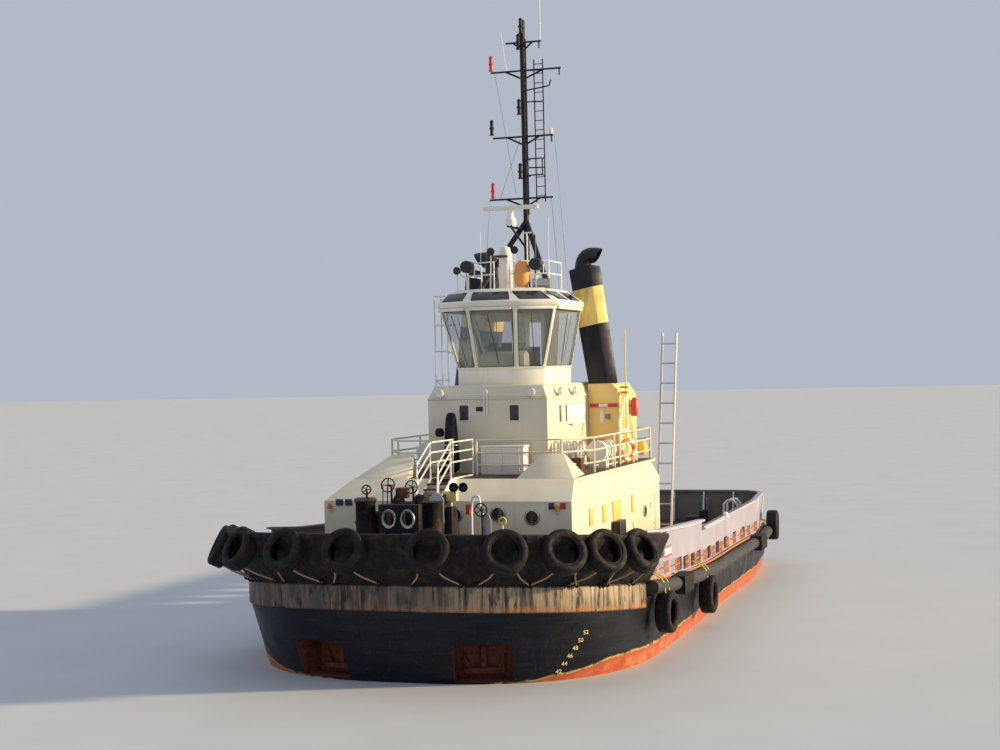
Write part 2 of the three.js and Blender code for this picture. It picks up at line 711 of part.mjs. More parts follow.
for (const [i, count] of [[0, 6], [1, 3]]) {
  for (let k = 1; k <= count; k++) {
    const t = k / (count + 1);
    const x = FLIGHT[i].x + (FLIGHT[i + 1].x - FLIGHT[i].x) * t;
    const z = FLIGHT[i].z + (FLIGHT[i + 1].z - FLIGHT[i].z) * t;
    treads.push(block(x - 90, x + 60, STAIR.y0, STAIR.y1 + STAIR.cheek, z - 45, z));
  }
}
const landing = block(
  FLIGHT[3].x, FLIGHT[2].x, STAIR.y0, STAIR.y1 + STAIR.cheek, BOAT_DECK + SEAM, FLIGHT[3].z - 20,
);
// Handrails: a bar above the flight at each height, and its posts
const RAIL_LEVELS = [420, 980];
const stairRail = (y) => {
  const line = FLIGHT.slice(1).map(({ x, z }) => [x, y, z]);
  const bars = RAIL_LEVELS.map((rise) => pipe(line.map(([x, , z]) => [x, y, z + rise]), STAIR.rail, 4));
  const posts = line.map(([x, , z]) => bar([x, y, z - 60], [x, y, z + RAIL_LEVELS[1]], STAIR.rail, 4));
  return join([...bars, ...posts]);
};
part(
  "front_stairs",
  join([
    flightSide(STAIR.y0), flightSide(STAIR.y1), landing, ...treads,
    ...[STAIR.y0, STAIR.y1].map((y) => stairRail(y + STAIR.cheek / 2)),
  ]),
  WHITE,
);

// Upper house: hollow, standing on the boat deck, closed by the bridge deck

const upperBlock = (inset, floor, top) =>
  block(
    UPPER_AFT + inset, UPPER_FRONT - inset, -UPPER_HALF + inset, UPPER_HALF - inset, floor, top,
  );
const BRIDGE_LEDGE = UPPER_TOP - SEAM;
const upperDoorway = block(
  UPPER_AFT - 100, UPPER_AFT + 300,
  UPPER_DOOR.y - DOOR.width / 2, UPPER_DOOR.y + DOOR.width / 2,
  UPPER_DOOR.floor, UPPER_DOOR.floor + DOOR.height,
);
const upperHinges = HINGE_HEIGHTS.map((height) =>
  hinge(
    [UPPER_AFT - HINGE.offset, UPPER_DOOR.y + DOOR.width / 2], [0, -1], [-1, 0],
    UPPER_DOOR.floor + height,
  ),
);
const upperShell = upperBlock(0, BOAT_DECK + SEAM, BRIDGE_LEDGE)
  .subtract(upperBlock(PLATE, BOAT_DECK - 100, BRIDGE_DECK))
  .subtract(upperDoorway);
part("upper_house", join([upperShell, ...upperHinges.map(({ wall }) => wall)]), CREAM);
part(
  "upper_house_door",
  join([
    block(
      UPPER_AFT + DOOR.recess, UPPER_AFT + DOOR.recess + DOOR.thick,
      UPPER_DOOR.y - DOOR.width / 2 + DOOR.gap, UPPER_DOOR.y + DOOR.width / 2 - DOOR.gap,
      UPPER_DOOR.floor + DOOR.gap, UPPER_DOOR.floor + DOOR.height - DOOR.gap,
    ),
    ...upperHinges.map(({ leaf }) => leaf),
  ]),
  CREAM,
);

// Bridge deck: the chamfered roof of the upper house, with the walkway rail to starboard
const CHAMFER = 320;
const bridgeRing = (inset, z) => [
  [UPPER_FRONT - inset, UPPER_HALF - inset, z],
  [UPPER_AFT, UPPER_HALF - inset, z],
  [UPPER_AFT, -UPPER_HALF + inset, z],
  [UPPER_FRONT - inset, -UPPER_HALF + inset, z],
];
const bridgeDeck = loft([bridgeRing(0, UPPER_TOP), bridgeRing(CHAMFER * 0.5, BRIDGE_DECK)]);
part("bridge_deck", bridgeDeck, CREAM);

// Wheelhouse: an octagon whose windows lean outboard going up

// x of the front face, half width of it, x of the front shoulder, half beam, aft shoulder, aft face
const SILL_PLAN = { front: 5000, face: 630, shoulder: 4575, half: 1375, aftShoulder: 1645, aft: 900 };
const EAVES_PLAN = { front: 5450, face: 760, shoulder: 4829, half: 1850, aftShoulder: 1990, aft: 900 };
function octagon({ front, face, shoulder, half, aftShoulder, aft }, inset, z) {
  // How far a corner moves along one side when both its sides move in, for a turn between them
  const shift = (angle) => inset * Math.tan(angle / 2);
  const noseTurn = Math.atan2(front - shoulder, half - face);
  const tailTurn = Math.atan2(aftShoulder - aft, half - face);
  const port = [
    [front - inset, face - shift(noseTurn), z],
    [shoulder - shift(Math.PI / 2 - noseTurn), half - inset, z],
    [aftShoulder + shift(Math.PI / 2 - tailTurn), half - inset, z],
    [aft + inset, face - shift(tailTurn), z],
  ];
  const starboard = port.map(([x, y]) => [x, -y, z]).reverse();
  return [starboard[3], ...port, ...starboard.slice(0, 3)];
}
// The plan of the window band at a height, between the sill and the eaves.
function planAt(z) {
  const t = (z - SILL) / (EAVES - SILL);
  const between = (key) => SILL_PLAN[key] + (EAVES_PLAN[key] - SILL_PLAN[key]) * t;
  return Object.fromEntries(Object.keys(SILL_PLAN).map((key) => [key, between(key)]));
}
const wheelhouseBand = (inset, low, high) =>
  loft([octagon(planAt(low), inset, low), octagon(planAt(high), inset, high)]);
const WALL = 80;
const FRAME = { depth: 70, bar: 75, rail: 110 };
const FLOOR = BRIDGE_DECK + SEAM;
const base = loft([octagon(SILL_PLAN, 0, FLOOR), octagon(SILL_PLAN, 0, SILL)])
  .subtract(loft([octagon(SILL_PLAN, WALL, FLOOR - 50), octagon(SILL_PLAN, WALL, SILL + 50)]));
// Openings: one for each side of the octagon, and the doorway aft
const THROUGH = 200; // how far an opening's cut reaches past the wall on both sides
function windowOpening(i, low, high, margin) {
  const lowRing = octagon(planAt(low), 0, low);
  const highRing = octagon(planAt(high), 0, high);
  const j = (i + 1) % 8;
  const corner = (ring, from, to, keep) => {
    const [x0, y0, z] = ring[from];
    const [x1, y1] = ring[to];
    const t = keep / Math.hypot(x1 - x0, y1 - y0);
    return [x0 + (x1 - x0) * t, y0 + (y1 - y0) * t, z];
  };
  const faceOut = (ring) => {
    const [x0, y0] = ring[i];
    const [x1, y1] = ring[j];
    const length = Math.hypot(x1 - x0, y1 - y0);
    return [(y1 - y0) / length, (x0 - x1) / length];
  };
  const ringOf = (ring) => {
    const [nx, ny] = faceOut(ring);
    const a = corner(ring, i, j, margin);
    const b = corner(ring, j, i, margin);
    const shift = ([x, y, z], out) => [x + nx * out, y + ny * out, z];
    return [shift(a, -THROUGH), shift(b, -THROUGH), shift(b, THROUGH), shift(a, THROUGH)];
  };
  return loft([ringOf(lowRing), ringOf(highRing)]);
}
const AFT_SIDE = 4; // the octagon's side that holds the door
const openings = Array.from({ length: 8 }, (_, i) =>
  windowOpening(i, SILL + FRAME.rail, EAVES - FRAME.rail, FRAME.bar),
).filter((_, i) => i !== AFT_SIDE);
const BRIDGE_DOOR = { half: 330, floor: FLOOR + 40, top: 9560 };
const bridgeDoorway = block(
  SILL_PLAN.aft - 100, SILL_PLAN.aft + 200,
  -BRIDGE_DOOR.half, BRIDGE_DOOR.half, BRIDGE_DOOR.floor, BRIDGE_DOOR.top,
);
const frame = openings.reduce(
  (body, opening) => body.subtract(opening),
  wheelhouseBand(0, SILL + SEAM, EAVES).subtract(wheelhouseBand(FRAME.depth, SILL - 50, EAVES + 50)),
);
// One hinge on the base and one on the window band
const [lowHinge, highHinge] = [FLOOR + 210, FLOOR + 1870].map((low) =>
  hinge([SILL_PLAN.aft - HINGE.offset, BRIDGE_DOOR.half], [0, -1], [-1, 0], low),
);
part("wheelhouse_base", join([base.subtract(bridgeDoorway), lowHinge.wall]), CREAM);
part("wheelhouse_frame", join([frame.subtract(bridgeDoorway), highHinge.wall]), CREAM);
const GLASS_INSET = FRAME.depth + SEAM;
part(
  "wheelhouse_glass",
  wheelhouseBand(GLASS_INSET, SILL + SEAM, EAVES - SEAM)
    .subtract(wheelhouseBand(GLASS_INSET + 14, SILL - 50, EAVES + 50))
    .subtract(bridgeDoorway),
  GLASS,
);
const bridgeDoorLeaf = block(
  SILL_PLAN.aft + 5, SILL_PLAN.aft + 50,
  -BRIDGE_DOOR.half + DOOR.gap, BRIDGE_DOOR.half - DOOR.gap,
  BRIDGE_DOOR.floor + DOOR.gap, BRIDGE_DOOR.top - DOOR.gap,
);
const bridgeDoorPane = block(
  SILL_PLAN.aft - 50, SILL_PLAN.aft + 100, -200, 200, SILL + 150, BRIDGE_DOOR.top - 180,
);
part(
  "wheelhouse_door",
  join([bridgeDoorLeaf.subtract(bridgeDoorPane), lowHinge.leaf, highHinge.leaf]),
  CREAM,
);
const roofRing = (grow, z) => octagon(EAVES_PLAN, -grow, z);
const roof = loft([
  roofRing(60, EAVES + SEAM),
  roofRing(70, EAVES + 150),
  roofRing(-380, ROOF - 50),
  roofRing(-480, ROOF),
]);
const roofRails = [
  [[4300, 250], [3700, 1310], [2350, 1310]],
  [[4300, -250], [3700, -1310], [2350, -1310]],
].flatMap((line) => railing(line, ROOF, 850, [0.55, 1], 1300, 22));
const LAMP = { x: 4300, y: 1100, z: 11050, radius: 190 };
const lampStand = join([
  bar([LAMP.x, LAMP.y, ROOF - 30], [LAMP.x, LAMP.y, ROOF + 420], 45, 6),
  block(LAMP.x - 40, LAMP.x + 40, LAMP.y - 240, LAMP.y + 240, ROOF + 400, ROOF + 450),
  block(LAMP.x - 40, LAMP.x + 40, LAMP.y - 240, LAMP.y - 205, ROOF + 400, LAMP.z + 40),
  block(LAMP.x - 40, LAMP.x + 40, LAMP.y + 205, LAMP.y + 240, ROOF + 400, LAMP.z + 40),
]);
part("wheelhouse_roof", join([roof, ...roofRails, ...both(lampStand)]), CREAM);

// Helm console and two chairs
const consoleShape = slab(
  [[4450, FLOOR], [4450, FLOOR + 900], [4150, FLOOR + 1020], [3900, FLOOR + 900], [3900, FLOOR]],
  "y", -700, 700,
);
part("console", consoleShape, GREY);
const chair = (x, y) =>
  join([
    bar([x, y, FLOOR], [x, y, FLOOR + 40], 240, 8),
    bar([x, y, FLOOR + 20], [x, y, FLOOR + 420], 55, 8),
    block(x - 250, x + 250, y - 260, y + 260, FLOOR + 400, FLOOR + 520),
    block(x - 290, x - 190, y - 240, y + 240, FLOOR + 480, FLOOR + 1150),
  ]);
part("helm_chair_port", chair(3100, 480), SEAT);
part("helm_chair_starboard", chair(3100, -480), SEAT);

// Funnels: a casing on each side of the upper house, and a leaning stack above it

const CASING = { front: 1500, aft: -700, outer: 2900, top: 7380 };
const casing = slab(
  [
    [UPPER_HALF + SEAM, BOAT_DECK + SEAM],
    [CASING.outer, BOAT_DECK + SEAM],
    [CASING.outer, CASING.top - 380],
    [CASING.outer - 250, CASING.top],
    [UPPER_HALF + SEAM, CASING.top],
  ],
  "x", CASING.aft, CASING.front,
);
pair("funnel_casing", casing, YELLOW);
// y of the inner and outer side at the foot and how far each leans in, the cut of the front corner,
// how far the plan narrows aft, and how the top rises outboard and falls aft for each mm
const STACK = {
  inner: 1860, innerLean: 570, outer: 2750, outerLean: 500, cut: 280, narrow: 450,
  front: 1400, back: -600, backLean: -350, foot: CASING.top, head: 11000, rise: 0.25, fall: 0.42,
};
const stackRing = (t, height) => {
  const inner = STACK.inner - STACK.innerLean * t;
  const outer = STACK.outer - STACK.outerLean * t;
  const back = STACK.back - STACK.backLean * t;
  return [
    [STACK.front, inner],
    [STACK.front, outer - STACK.cut],
    [STACK.front - STACK.cut, outer],
    [back, outer - STACK.narrow],
    [back, inner],
  ].map(([x, y]) => [x, y, height(x, y - inner)]);
};
const STACK_SKIRT = 0.08; // share of its height that the stack reaches down over the casing's shoulder
const stack = loft([
  stackRing(-STACK_SKIRT, () => STACK.foot - (STACK.head - STACK.foot) * STACK_SKIRT),
  stackRing(1, (x, out) => STACK.head + STACK.rise * out - STACK.fall * (STACK.front - x)),
]).subtract(casing.translate([0, SEAM, SEAM])).subtract(casing.translate([0, -SEAM, SEAM]));
// The exhaust cowl turns outboard above the stack: y and height of its middle line, degrees off upright
const COWL = { x: 500, radius: 280, wall: 40, sides: 12 };
const COWL_LINE = [
  { y: 1500, z: 10500, tip: 0 },
  { y: 1510, z: 11180, tip: 8 },
  { y: 1580, z: 11400, tip: 40 },
  { y: 1760, z: 11530, tip: 78 },
  { y: 2020, z: 11480, tip: 120 },
];
const COWL_MOUTH = { y: 2200, z: 11376, tip: 120 }; // past the rim, for the cut
const cowlPipe = (line, radius) =>
  loft(
    line.map(({ y, z, tip }) => {
      const lean = (tip * Math.PI) / 180;
      return Array.from({ length: COWL.sides }, (_, k) => {
        const angle = (2 * Math.PI * k) / COWL.sides;
        const across = radius * Math.sin(angle);
        return [COWL.x + radius * Math.cos(angle), y + across * Math.cos(lean), z - across * Math.sin(lean)];
      });
    }),
  );
const cowl = cowlPipe(COWL_LINE, COWL.radius)
  .subtract(cowlPipe([...COWL_LINE.slice(2), COWL_MOUTH], COWL.radius - COWL.wall));
pair("funnel", join([stack, cowl]), BLACK);

// Mast: a pole stayed by two legs, with yards, a ladder and lamp posts

const LEGS_MEET = 12600;
const legFeet = [[MAST_X + 1500, 1150], [MAST_X + 1500, -1150]];
const legs = legFeet.map(([x, y]) => bar([x, y, ROOF - 100], [MAST_X, 0, LEGS_MEET], 85, 6));
// height, half span to port and to starboard
const YARDS = [
  { z: 18300, port: 620, starboard: 560 },
  { z: 17400, port: 1250, starboard: 1080 },
  { z: 15300, port: 950, starboard: 1050 },
  { z: 13330, port: 900, starboard: 1200 },
];
const yards = YARDS.map(({ z, port, starboard }) =>
  bar([MAST_X, -starboard, z], [MAST_X, port, z], 34, 4),
);
const ladder = [
  bar([MAST_X - 120, 330, 13200], [MAST_X - 120, 330, 17750], 24, 4),
  bar([MAST_X - 120, 620, 13200], [MAST_X - 120, 620, 17750], 24, 4),
];
for (let z = 13400; z < 17700; z += 420) {
  ladder.push(bar([MAST_X - 120, 330, z], [MAST_X - 120, 620, z], 16, 4));
}
for (const z of [13330, 15300, 17400]) {
  ladder.push(bar([MAST_X, 0, z], [MAST_X - 120, 620, z], 26, 4));
}
const RADAR = { x: MAST_X + 1150, y: -150, z: 12640, half: 900 };
const bracket = [
  block(MAST_X - 60, RADAR.x + 150, RADAR.y - 90, RADAR.y + 90, 12330, 12380),
  bar([MAST_X, 0, 11700], [RADAR.x, RADAR.y, 12350], 40, 4),
  bar([RADAR.x, RADAR.y, 12350], [RADAR.x, RADAR.y, RADAR.z], 150, 8),
];
const lampPosts = YARDS.slice(1).map(({ z, starboard }) =>
  bar([MAST_X, -starboard + 40, z - 20], [MAST_X, -starboard + 40, z + 300], 75, 6),
);
part(
  "mast",
  join([
    bar([MAST_X, 0, ROOF - 100], [MAST_X, 0, MAST_TOP], 90, 6, 60),
    ...legs, ...yards, ...ladder, ...bracket, ...lampPosts,
    bar([MAST_X, 600, 18300], [MAST_X, 600, 19900], 16, 4),
  ]).subtract(block(0, 4000, -2000, 2000, ROOF - 400, ROOF + SEAM)),
  BLACK,
);
part(
  "radar_scanner",
  join([
    bar([RADAR.x, RADAR.y, RADAR.z + SEAM], [RADAR.x, RADAR.y, RADAR.z + 260], 90, 8),
    block(
      RADAR.x - 60, RADAR.x + 60, RADAR.y - RADAR.half, RADAR.y + RADAR.half,
      RADAR.z + 240, RADAR.z + 370,
    ),
  ]),
  WHITE,
);

// Gear on the wheelhouse roof
const DOME = { x: 3900, y: 0, radius: 210, height: 1150 };
part(
  "roof_dome",
  turned(
    [
      [0, 0], [DOME.radius, 0], [DOME.radius, DOME.height],
      [DOME.radius * 0.7, DOME.height + 140], [0, DOME.height + 200],
    ],
    12,
  ).translate([DOME.x, DOME.y, ROOF + SEAM]),
  WHITE,
);
const lampHead = join([
  bar([LAMP.x - 170, LAMP.y, LAMP.z], [LAMP.x + 170, LAMP.y, LAMP.z], LAMP.radius, 12),
  bar([LAMP.x, LAMP.y - 204.7, LAMP.z], [LAMP.x, LAMP.y + 204.7, LAMP.z], 20, 6),
]);
pair("searchlight", lampHead, BLACK);

// Foredeck gear

const WINCH = {
  x: 10900, y: -250, z: 4080, drum: 340, flange: 540, half: 700, cheek: 800, thick: 120, journal: 86,
};
const winchFloor = deckHeight(WINCH.x + 700) + DECK_SEAM;
const onWinch = (from, to, radius, sides) =>
  bar([WINCH.x, WINCH.y + from, WINCH.z], [WINCH.x, WINCH.y + to, WINCH.z], radius, sides);
// One drum with its two flanges and the collar that runs against the frame's cheek
const winchDrum = join([
  onWinch(50, WINCH.half, WINCH.drum, 16),
  onWinch(50, 110, WINCH.flange, 16),
  onWinch(WINCH.half - 60, WINCH.half, WINCH.flange, 16),
  onWinch(WINCH.half - 10, WINCH.cheek - SEAM, 150, 12),
]);
const onCentre = (shape) => shape.translate([0, -WINCH.y, 0]);
const offCentre = (shape) => shape.translate([0, WINCH.y, 0]);
const winchReach = WINCH.cheek + WINCH.thick - 10;
part(
  "winch_drum",
  join([
    onWinch(-winchReach, winchReach, WINCH.journal, 8),
    ...both(onCentre(winchDrum)).map(offCentre),
  ]),
  BLACK,
);
const cheek = (from) =>
  slab(
    [
      [WINCH.x - 650, winchFloor - 300],
      [WINCH.x + 650, winchFloor - 300],
      [WINCH.x + 650, winchFloor + 150],
      [WINCH.x + 180, WINCH.z + 200],
      [WINCH.x - 180, WINCH.z + 200],
      [WINCH.x - 650, winchFloor + 150],
    ],
    "y", WINCH.y + from, WINCH.y + from + WINCH.thick,
  ).subtract(onWinch(from - 20, from + WINCH.thick + 20, WINCH.journal + 8, 8));
const crossBeam = (x) =>
  block(x, x + 250, WINCH.y - 1000, WINCH.y + 1000, winchFloor - 300, winchFloor + 120);
// Drive at the starboard end, with its handwheel, and two upright warping drums
const DRIVE = {
  x: 10700, y: -1750, end: WINCH.y - WINCH.cheek - WINCH.thick + 4, radius: 300, wheel: 190,
};
const CAPSTANS = [
  { x: 11780, y: 370, top: 4480 },
  { x: 11450, y: -1650, top: 4480 },
];
const capstan = ({ x, y, top }) =>
  turned(
    [[0, 2200], [330, 2200], [330, 3300], [270, 3400], [270, top - 60], [310, top], [0, top]],
    12,
  ).translate([x, y, 0]);
const handwheel = join([
  turned(
    [[DRIVE.wheel - 14, -14], [DRIVE.wheel + 14, -14], [DRIVE.wheel + 14, 14], [DRIVE.wheel - 14, 14],
      [DRIVE.wheel - 14, -14]],
    12,
  ),
  block(-DRIVE.wheel, DRIVE.wheel, -14, 14, -10, 10),
  block(-14, 14, -DRIVE.wheel, DRIVE.wheel, -10, 10),
  bar([0, 0, -260], [0, 0, 10], 24, 6),
]).rotate([0, 75, 0]);
const winchBed = join([
  crossBeam(WINCH.x - 750),
  crossBeam(WINCH.x + 500),
  cheek(WINCH.cheek),
  cheek(-WINCH.cheek - WINCH.thick),
  bar([DRIVE.x, DRIVE.y, WINCH.z - 250], [DRIVE.x, DRIVE.end, WINCH.z - 250], DRIVE.radius, 12),
  block(
    DRIVE.x - 250, DRIVE.x + 250, DRIVE.y, DRIVE.end, winchFloor - 300, WINCH.z - 300,
  ),
  block(CAPSTANS[0].x - 400, CAPSTANS[0].x, 200, 540, winchFloor - 300, winchFloor + 200),
  block(WINCH.x + 400, CAPSTANS[1].x, -1750, -1000, winchFloor - 300, winchFloor + 200),
  ...CAPSTANS.map(capstan),
  handwheel.translate([WINCH.x + 260, WINCH.y - WINCH.cheek - 60, WINCH.z + 790]),
  bar(
    [WINCH.x, WINCH.y - WINCH.cheek - 60, WINCH.z + 150],
    [WINCH.x + 20, WINCH.y - WINCH.cheek - 60, WINCH.z + 730], 30, 6,
  ),
]);
part("winch_frame", onHull(winchBed), BLACK);
// Two oval rope holes in an upright staple ahead of the winch
const STAPLE = { x: 12400, z: 4090, thick: 260, rise: 370, holeRadius: 175, holeRise: 90 };
const STAPLE_HOLES = [-540, -20]; // y of each hole
const stapleHole = (y) =>
  join([
    ...[-1, 1].map((up) => {
      const z = STAPLE.z + up * STAPLE.holeRise;
      return bar([STAPLE.x - 400, y, z], [STAPLE.x + 400, y, z], STAPLE.holeRadius, 12);
    }),
    block(
      STAPLE.x - 400, STAPLE.x + 400,
      y - STAPLE.holeRadius, y + STAPLE.holeRadius,
      STAPLE.z - STAPLE.holeRise, STAPLE.z + STAPLE.holeRise,
    ),
  ]);
const stapleBody = join([
  block(
    STAPLE.x - STAPLE.thick / 2, STAPLE.x + STAPLE.thick / 2,
    STAPLE_HOLES[0] - 300, STAPLE_HOLES[1] + 300,
    STAPLE.z - STAPLE.rise, STAPLE.z + STAPLE.rise,
  ),
  ...[STAPLE_HOLES[0] - 200, STAPLE_HOLES[1] + 200].map((y) =>
    block(STAPLE.x - 160, STAPLE.x + 160, y - 90, y + 90, 2200, STAPLE.z - STAPLE.rise + 50),
  ),
]);
part(
  "fairlead",
  onHull(STAPLE_HOLES.reduce((body, y) => body.subtract(stapleHole(y)), stapleBody)),
  BLACK,
);
// Anchor windlass to port of the winch: a barrel with two flanges between cheeks
const WINDLASS = {
  x: 10750, y0: 1900, y1: 2900, z: 2950, barrel: 200, flange: 340, journal: 58, cheekGap: 120, thick: 80,
};
const windlassCheek = (y) =>
  block(WINDLASS.x - 150, WINDLASS.x + 150, y, y + WINDLASS.thick, 2300, WINDLASS.z + 150);
const onWindlass = (from, to, radius, sides) =>
  bar([WINDLASS.x, from, WINDLASS.z], [WINDLASS.x, to, WINDLASS.z], radius, sides);
const WINDLASS_ENDS = [
  WINDLASS.y0 - WINDLASS.cheekGap - WINDLASS.thick,
  WINDLASS.y1 + WINDLASS.cheekGap + WINDLASS.thick,
];
const windlassFrame = join([
  block(WINDLASS.x - 350, WINDLASS.x + 350, ...WINDLASS_ENDS, 1900, 2450),
  windlassCheek(WINDLASS_ENDS[0]),
  windlassCheek(WINDLASS_ENDS[1] - WINDLASS.thick),
]).subtract(onWindlass(WINDLASS_ENDS[0] - 50, WINDLASS_ENDS[1] + 50, WINDLASS.journal + 5.5, 8));
part("windlass_frame", onHull(windlassFrame), BLACK);
const windlassCollar = WINDLASS.cheekGap - SEAM;
part(
  "windlass_barrel",
  join([
    onWindlass(WINDLASS_ENDS[0] + 10, WINDLASS_ENDS[1] - 10, WINDLASS.journal, 8),
    onWindlass(WINDLASS.y0 - windlassCollar, WINDLASS.y1 + windlassCollar, 110, 12),
    onWindlass(WINDLASS.y0, WINDLASS.y1, WINDLASS.barrel, 12),
    onWindlass(WINDLASS.y0, WINDLASS.y0 + 60, WINDLASS.flange, 12),
    onWindlass(WINDLASS.y1 - 60, WINDLASS.y1, WINDLASS.flange, 12),
  ]),
  BLACK,
);
const bitts = (x, y) =>
  join([
    bar([x, y - 260, 1500], [x, y - 260, deckHeight(x) + 720], 130, 8),
    bar([x, y + 260, 1500], [x, y + 260, deckHeight(x) + 720], 130, 8),
    bar([x, y - 420, deckHeight(x) + 430], [x, y + 420, deckHeight(x) + 430], 60, 6),
  ]);
const BOW_BITTS = { x: 11900, y: 2900 };
part("bitts_bow_port", onHull(bitts(BOW_BITTS.x, BOW_BITTS.y)), BLACK);
part("bitts_bow_starboard", onHull(bitts(BOW_BITTS.x, -BOW_BITTS.y)), BLACK);

// Boat deck gear

// Locker with a hinged lid
const LOCKER = { x0: 6150, x1: 6650, y0: 0, y1: 1300, height: 780 };
const lockerBox = block(
  LOCKER.x0, LOCKER.x1, LOCKER.y0, LOCKER.y1, BOAT_DECK + SEAM, BOAT_DECK + LOCKER.height,
).subtract(block(
  LOCKER.x0 + 40, LOCKER.x1 - 40, LOCKER.y0 + 40, LOCKER.y1 - 40, BOAT_DECK + 60, BOAT_DECK + 900,
));
part("locker", lockerBox, WHITE);
part(
  "locker_lid",
  block(
    LOCKER.x0, LOCKER.x1 + 30, LOCKER.y0 - 30, LOCKER.y1 + 30,
    BOAT_DECK + LOCKER.height + SEAM, BOAT_DECK + LOCKER.height + 60,
  ),
  WHITE,
);
// Life raft drum on its cradle
const RAFT = { x: 3300, y: 2750, z: BOAT_DECK + 520, radius: 320, half: 620 };
pair(
  "life_raft",
  join([
    bar([RAFT.x - RAFT.half, RAFT.y, RAFT.z], [RAFT.x + RAFT.half, RAFT.y, RAFT.z], RAFT.radius, 12),
    block(RAFT.x - 380, RAFT.x - 280, RAFT.y - 280, RAFT.y + 280, BOAT_DECK + SEAM, RAFT.z - 120),
    block(RAFT.x + 280, RAFT.x + 380, RAFT.y - 280, RAFT.y + 280, BOAT_DECK + SEAM, RAFT.z - 120),
  ]),
  WHITE,
);
// Boarding ladder stowed upright at the aft end of the house
const GANGWAY = { x: -1000, y: 3350, width: 480, head: 9000, lean: -1700 };
const gangwayFoot = deckHeight(GANGWAY.x + 100) + DECK_SEAM;
const gangwaySide = (y) =>
  loft([
    [
      [GANGWAY.x - 90, y, gangwayFoot], [GANGWAY.x + 90, y, gangwayFoot],
      [GANGWAY.x + 90, y + 50, gangwayFoot], [GANGWAY.x - 90, y + 50, gangwayFoot],
    ],
    [
      [GANGWAY.x + GANGWAY.lean - 90, y, GANGWAY.head], [GANGWAY.x + GANGWAY.lean + 90, y, GANGWAY.head],
      [GANGWAY.x + GANGWAY.lean + 90, y + 50, GANGWAY.head],
      [GANGWAY.x + GANGWAY.lean - 90, y + 50, GANGWAY.head],
    ],
  ]);
const gangwayRungs = [];
for (let t = 0.05; t < 1; t += 0.09) {
  const x = GANGWAY.x + GANGWAY.lean * t;
  const z = gangwayFoot + (GANGWAY.head - gangwayFoot) * t;
  gangwayRungs.push(bar([x, GANGWAY.y + 20, z], [x, GANGWAY.y + GANGWAY.width + 30, z], 30, 4));
}
part(
  "gangway",
  join([gangwaySide(GANGWAY.y), gangwaySide(GANGWAY.y + GANGWAY.width), ...gangwayRungs]),
  WHITE,
);

// Aft deck gear: a towing hook on its post, bitts and hoops

const HOOK = { x: -3800, z: 2650 };
const hookDeck = DECK_AFT + DECK_SEAM;
part(
  "tow_hook_post",
  join([
    block(HOOK.x - 450, HOOK.x + 700, -350, 350, hookDeck, hookDeck + 160),
    block(HOOK.x - 130, HOOK.x + 350, -180, 180, hookDeck + 100, HOOK.z - 120),
  ]),
  BLACK,
);
part(
  "tow_hook",
  join([
    bar([HOOK.x, 0, HOOK.z - 120 + SEAM], [HOOK.x, 0, HOOK.z + 120], 150, 10),
    slab(
      [
        [HOOK.x - 40, HOOK.z - 60], [HOOK.x - 700, HOOK.z - 60], [HOOK.x - 860, HOOK.z + 60],
        [HOOK.x - 860, HOOK.z + 300], [HOOK.x - 740, HOOK.z + 300], [HOOK.x - 740, HOOK.z + 110],
        [HOOK.x - 640, HOOK.z + 60], [HOOK.x - 40, HOOK.z + 60],
      ],
      "y", -60, 60,
    ),
  ]),
  RUST,
);
const AFT_BITTS = { x: -10800, y: 3000 };
for (const [sideSign, name] of [[1, "port"], [-1, "starboard"]]) {
  const y = sideSign * AFT_BITTS.y;
  part(
    "bitts_aft_" + name,
    join([
      block(AFT_BITTS.x - 450, AFT_BITTS.x + 450, y - 180, y + 180, hookDeck, hookDeck + 60),
      bar([AFT_BITTS.x - 250, y, hookDeck + 30], [AFT_BITTS.x - 250, y, hookDeck + 700], 130, 8),
      bar([AFT_BITTS.x + 250, y, hookDeck + 30], [AFT_BITTS.x + 250, y, hookDeck + 700], 130, 8),
      bar([AFT_BITTS.x - 380, y, hookDeck + 430], [AFT_BITTS.x + 380, y, hookDeck + 430], 55, 6),
    ]),
    BLACK,
  );
}
// Two white hoops side by side on one foot plate at the port quarter
const HOOP = { x: [-11150, -11850], y: 3980, half: 260, rise: 1050, radius: 45, round: 160 };
const hoop = (x) => {
  const [low, shoulder, high] = [hookDeck + 20, hookDeck + HOOP.rise - HOOP.round, hookDeck + HOOP.rise];
  const near = HOOP.half - HOOP.round;
  return pipe(
    [
      [x, HOOP.y - HOOP.half, low], [x, HOOP.y - HOOP.half, shoulder], [x, HOOP.y - near, high],
      [x, HOOP.y + near, high], [x, HOOP.y + HOOP.half, shoulder], [x, HOOP.y + HOOP.half, low],
    ],
    HOOP.radius, 8,
  );
};
part(
  "towing_hoop",
  join([
    ...HOOP.x.map(hoop),
    block(HOOP.x[1] - 120, HOOP.x[0] + 120, HOOP.y - 350, HOOP.y + 350, hookDeck, hookDeck + 60),
  ]),
  WHITE,
);

// Thrusters: a slewing leg and nozzle under the stern, with the propeller inside

